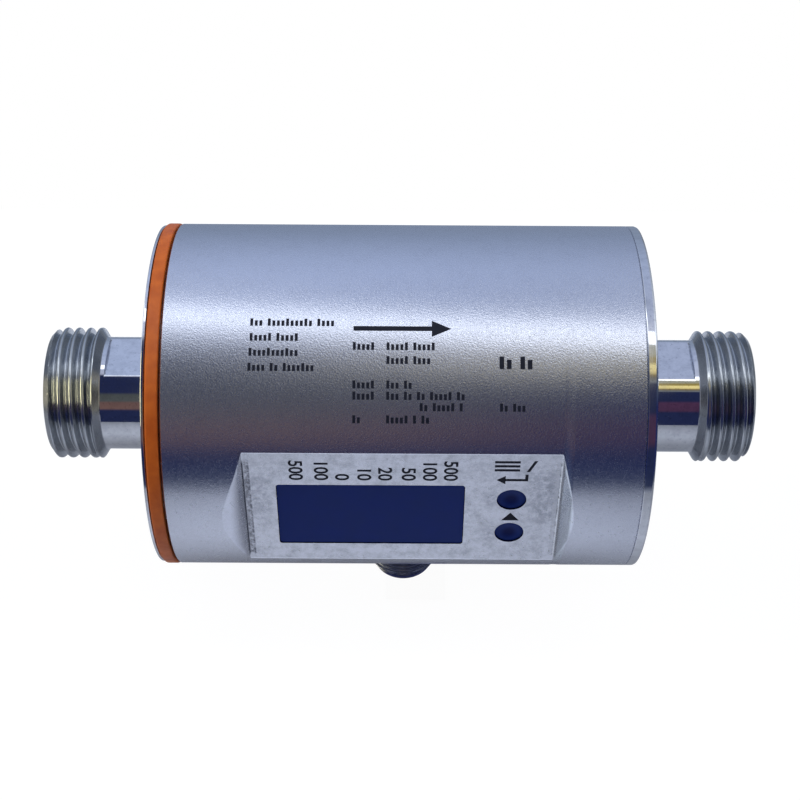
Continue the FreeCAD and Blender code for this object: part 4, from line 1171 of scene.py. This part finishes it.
def floor():
    """White for the camera; it sends less light back to the metal at the ends, towards the front and
    under the meter, where the shade is painted, and holds a painted shadow under the connector.
    """
    material = bpy.data.materials.new("floor")
    material.use_nodes = True
    tree = material.node_tree
    tree.nodes.clear()
    x, y, _ = places(tree)
    tone = mix_colours(tree, near(tree, x, MIDDLE_X, MIDDLE_HALF, MIDDLE_SOFT), FLOOR_ENDS, FLOOR_MIDDLE)
    shaded = product(tree, near(tree, y, 0.0, SHADE_HALF, SHADE_SOFT), SHADE_SHARE)
    shaded = calculate(tree, "ADD", shaded, spread(tree, y, FALL_SHARE, 0.0, FALL_STOP, FALL_START))
    tone = mix_colours(tree, shaded, tone, (0.0, 0.0, 0.0))
    # painted shadow under the connector, and its painted dark reflection for the metal
    shadow_patch = product(tree, near(tree, x, SHADOW_PATCH_MIDDLE[0], SHADOW_PATCH_HALF[0], SHADOW_PATCH_SOFT),
                    near(tree, y, SHADOW_PATCH_MIDDLE[1], SHADOW_PATCH_HALF[1], SHADOW_PATCH_SOFT))
    tone = mix_colours(tree, shadow_patch, tone, SHADOW_PATCH_LIT)
    mirrored = mix_colours(tree, shadow_patch, (FLOOR_MIRRORED,) * 3, SHADOW_PATCH_GLOW)
    rays = add_node(tree, "ShaderNodeLightPath")
    shown = product(tree, seen(tree), FLOOR_SHOWN)
    diffuse = add_node(tree, "ShaderNodeBsdfDiffuse", Color=tone)
    white = add_node(tree, "ShaderNodeEmission", Color=(1, 1, 1, 1), Strength=FLOOR_WHITE)
    mirror = add_node(tree, "ShaderNodeEmission", Color=mirrored, Strength=rays.outputs["Is Glossy Ray"])
    both = add_node(tree, "ShaderNodeAddShader")
    feed(tree, both.inputs[0], mix_shaders(tree, shown, diffuse, white))
    feed(tree, both.inputs[1], mirror.outputs[0])
    add_node(tree, "ShaderNodeOutputMaterial", Surface=both.outputs[0])
    level = CONNECTOR_END - FLOOR_DROP
    corners = [(-FLOOR_HALF, FLOOR_FRONT), (FLOOR_HALF, FLOOR_FRONT), (FLOOR_HALF, FLOOR_BACK),
               (-FLOOR_HALF, FLOOR_BACK)]
    mesh = bpy.data.meshes.new("floor")
    mesh.from_pydata([(x, y, level) for x, y in corners], [], [(0, 1, 2, 3)])
    mesh.materials.append(material)
    add_object("floor", mesh)


def ramp(tree, share, stops):
    """A colour by the angle round the X axis; share is the angle as a part of the turn."""
    node = add_node(tree, "ShaderNodeValToRGB", Fac=share)
    elements = node.color_ramp.elements
    while len(elements) < len(stops):
        elements.new(0.5)
    for element, (degrees, colour) in zip(elements, stops):
        element.position = (degrees + 180) / 360
        element.color = (*colour, 1.0)
    return node.outputs["Color"]


def surround():
    world = bpy.data.worlds.new("surround")
    world.use_nodes = True
    bpy.context.scene.world = world
    tree = world.node_tree
    tree.nodes.clear()
    x, y, z = places(tree, "Generated")
    angle = calculate(tree, "ARCTAN2", z, calculate(tree, "MULTIPLY", y, -1.0))
    share = spread(tree, angle, 0.0, 1.0, -math.pi, math.pi)
    colour = ramp(tree, share, SURROUND_END_LEFT)
    for stops, low, high in SURROUND_ZONES:
        comes_in = spread(tree, x, 0.0, 1.0, low, high)
        colour = mix_colours(tree, comes_in, colour, ramp(tree, share, stops))
    room = add_node(tree, "ShaderNodeBackground", Color=colour, Strength=1.0)
    white = add_node(tree, "ShaderNodeBackground", Color=(1, 1, 1, 1), Strength=1.0)
    add_node(tree, "ShaderNodeOutputWorld", Surface=mix_shaders(tree, seen(tree), room, white))


def lamp(name, place, size, rotation, glow, colour=(1, 1, 1), spread_angle=180):
    """A soft box of an even radiance, which looks straight down before it is turned."""
    data = bpy.data.lights.new(name, "AREA")
    data.shape = "RECTANGLE"
    data.size, data.size_y = size
    data.energy = glow * math.pi * size[0] * size[1]
    data.color = colour
    data.spread = math.radians(spread_angle)
    thing = add_object(name, data)
    thing.location = place
    thing.rotation_euler = [math.radians(angle) for angle in rotation]
    return thing


floor()
surround()
lamp("strip", place=(0.0, -0.012, 0.5), size=(0.9, 0.07), rotation=(0, 0, -29), glow=1.52,
     colour=(0.97, 1.0, 1.0))
fill = lamp("fill", place=(0.0, -0.2, 0.8), size=(1.0, 1.0), rotation=(0, 0, 0), glow=1.2)
side = lamp("side", place=(-0.3, -0.08, -0.005), size=(0.06, 0.12), rotation=(0, -90, 0), glow=12.0,
            colour=(1.0, 0.84, 0.5))
# Warm cards that only metal shows: one for the inlet's thread, one for the connector's
card = lamp("card", place=(-0.09, -0.048, 0.051), size=(0.038, 0.058), rotation=(43, 0, 0), glow=2.75,
            colour=(1.0, 0.9, 0.52), spread_angle=120)
glint = lamp("glint", place=(-0.0165, -0.008, -0.037), size=(0.006, 0.02), rotation=(0, -90, 0),
             glow=1.9, colour=(1.0, 0.94, 0.66), spread_angle=66)
for soft_box in (fill, side):
    soft_box.visible_glossy = False
for reflected in (card, glint):
    reflected.visible_camera = False
    reflected.visible_diffuse = False

bpy.context.scene.view_settings.view_transform = "Standard"
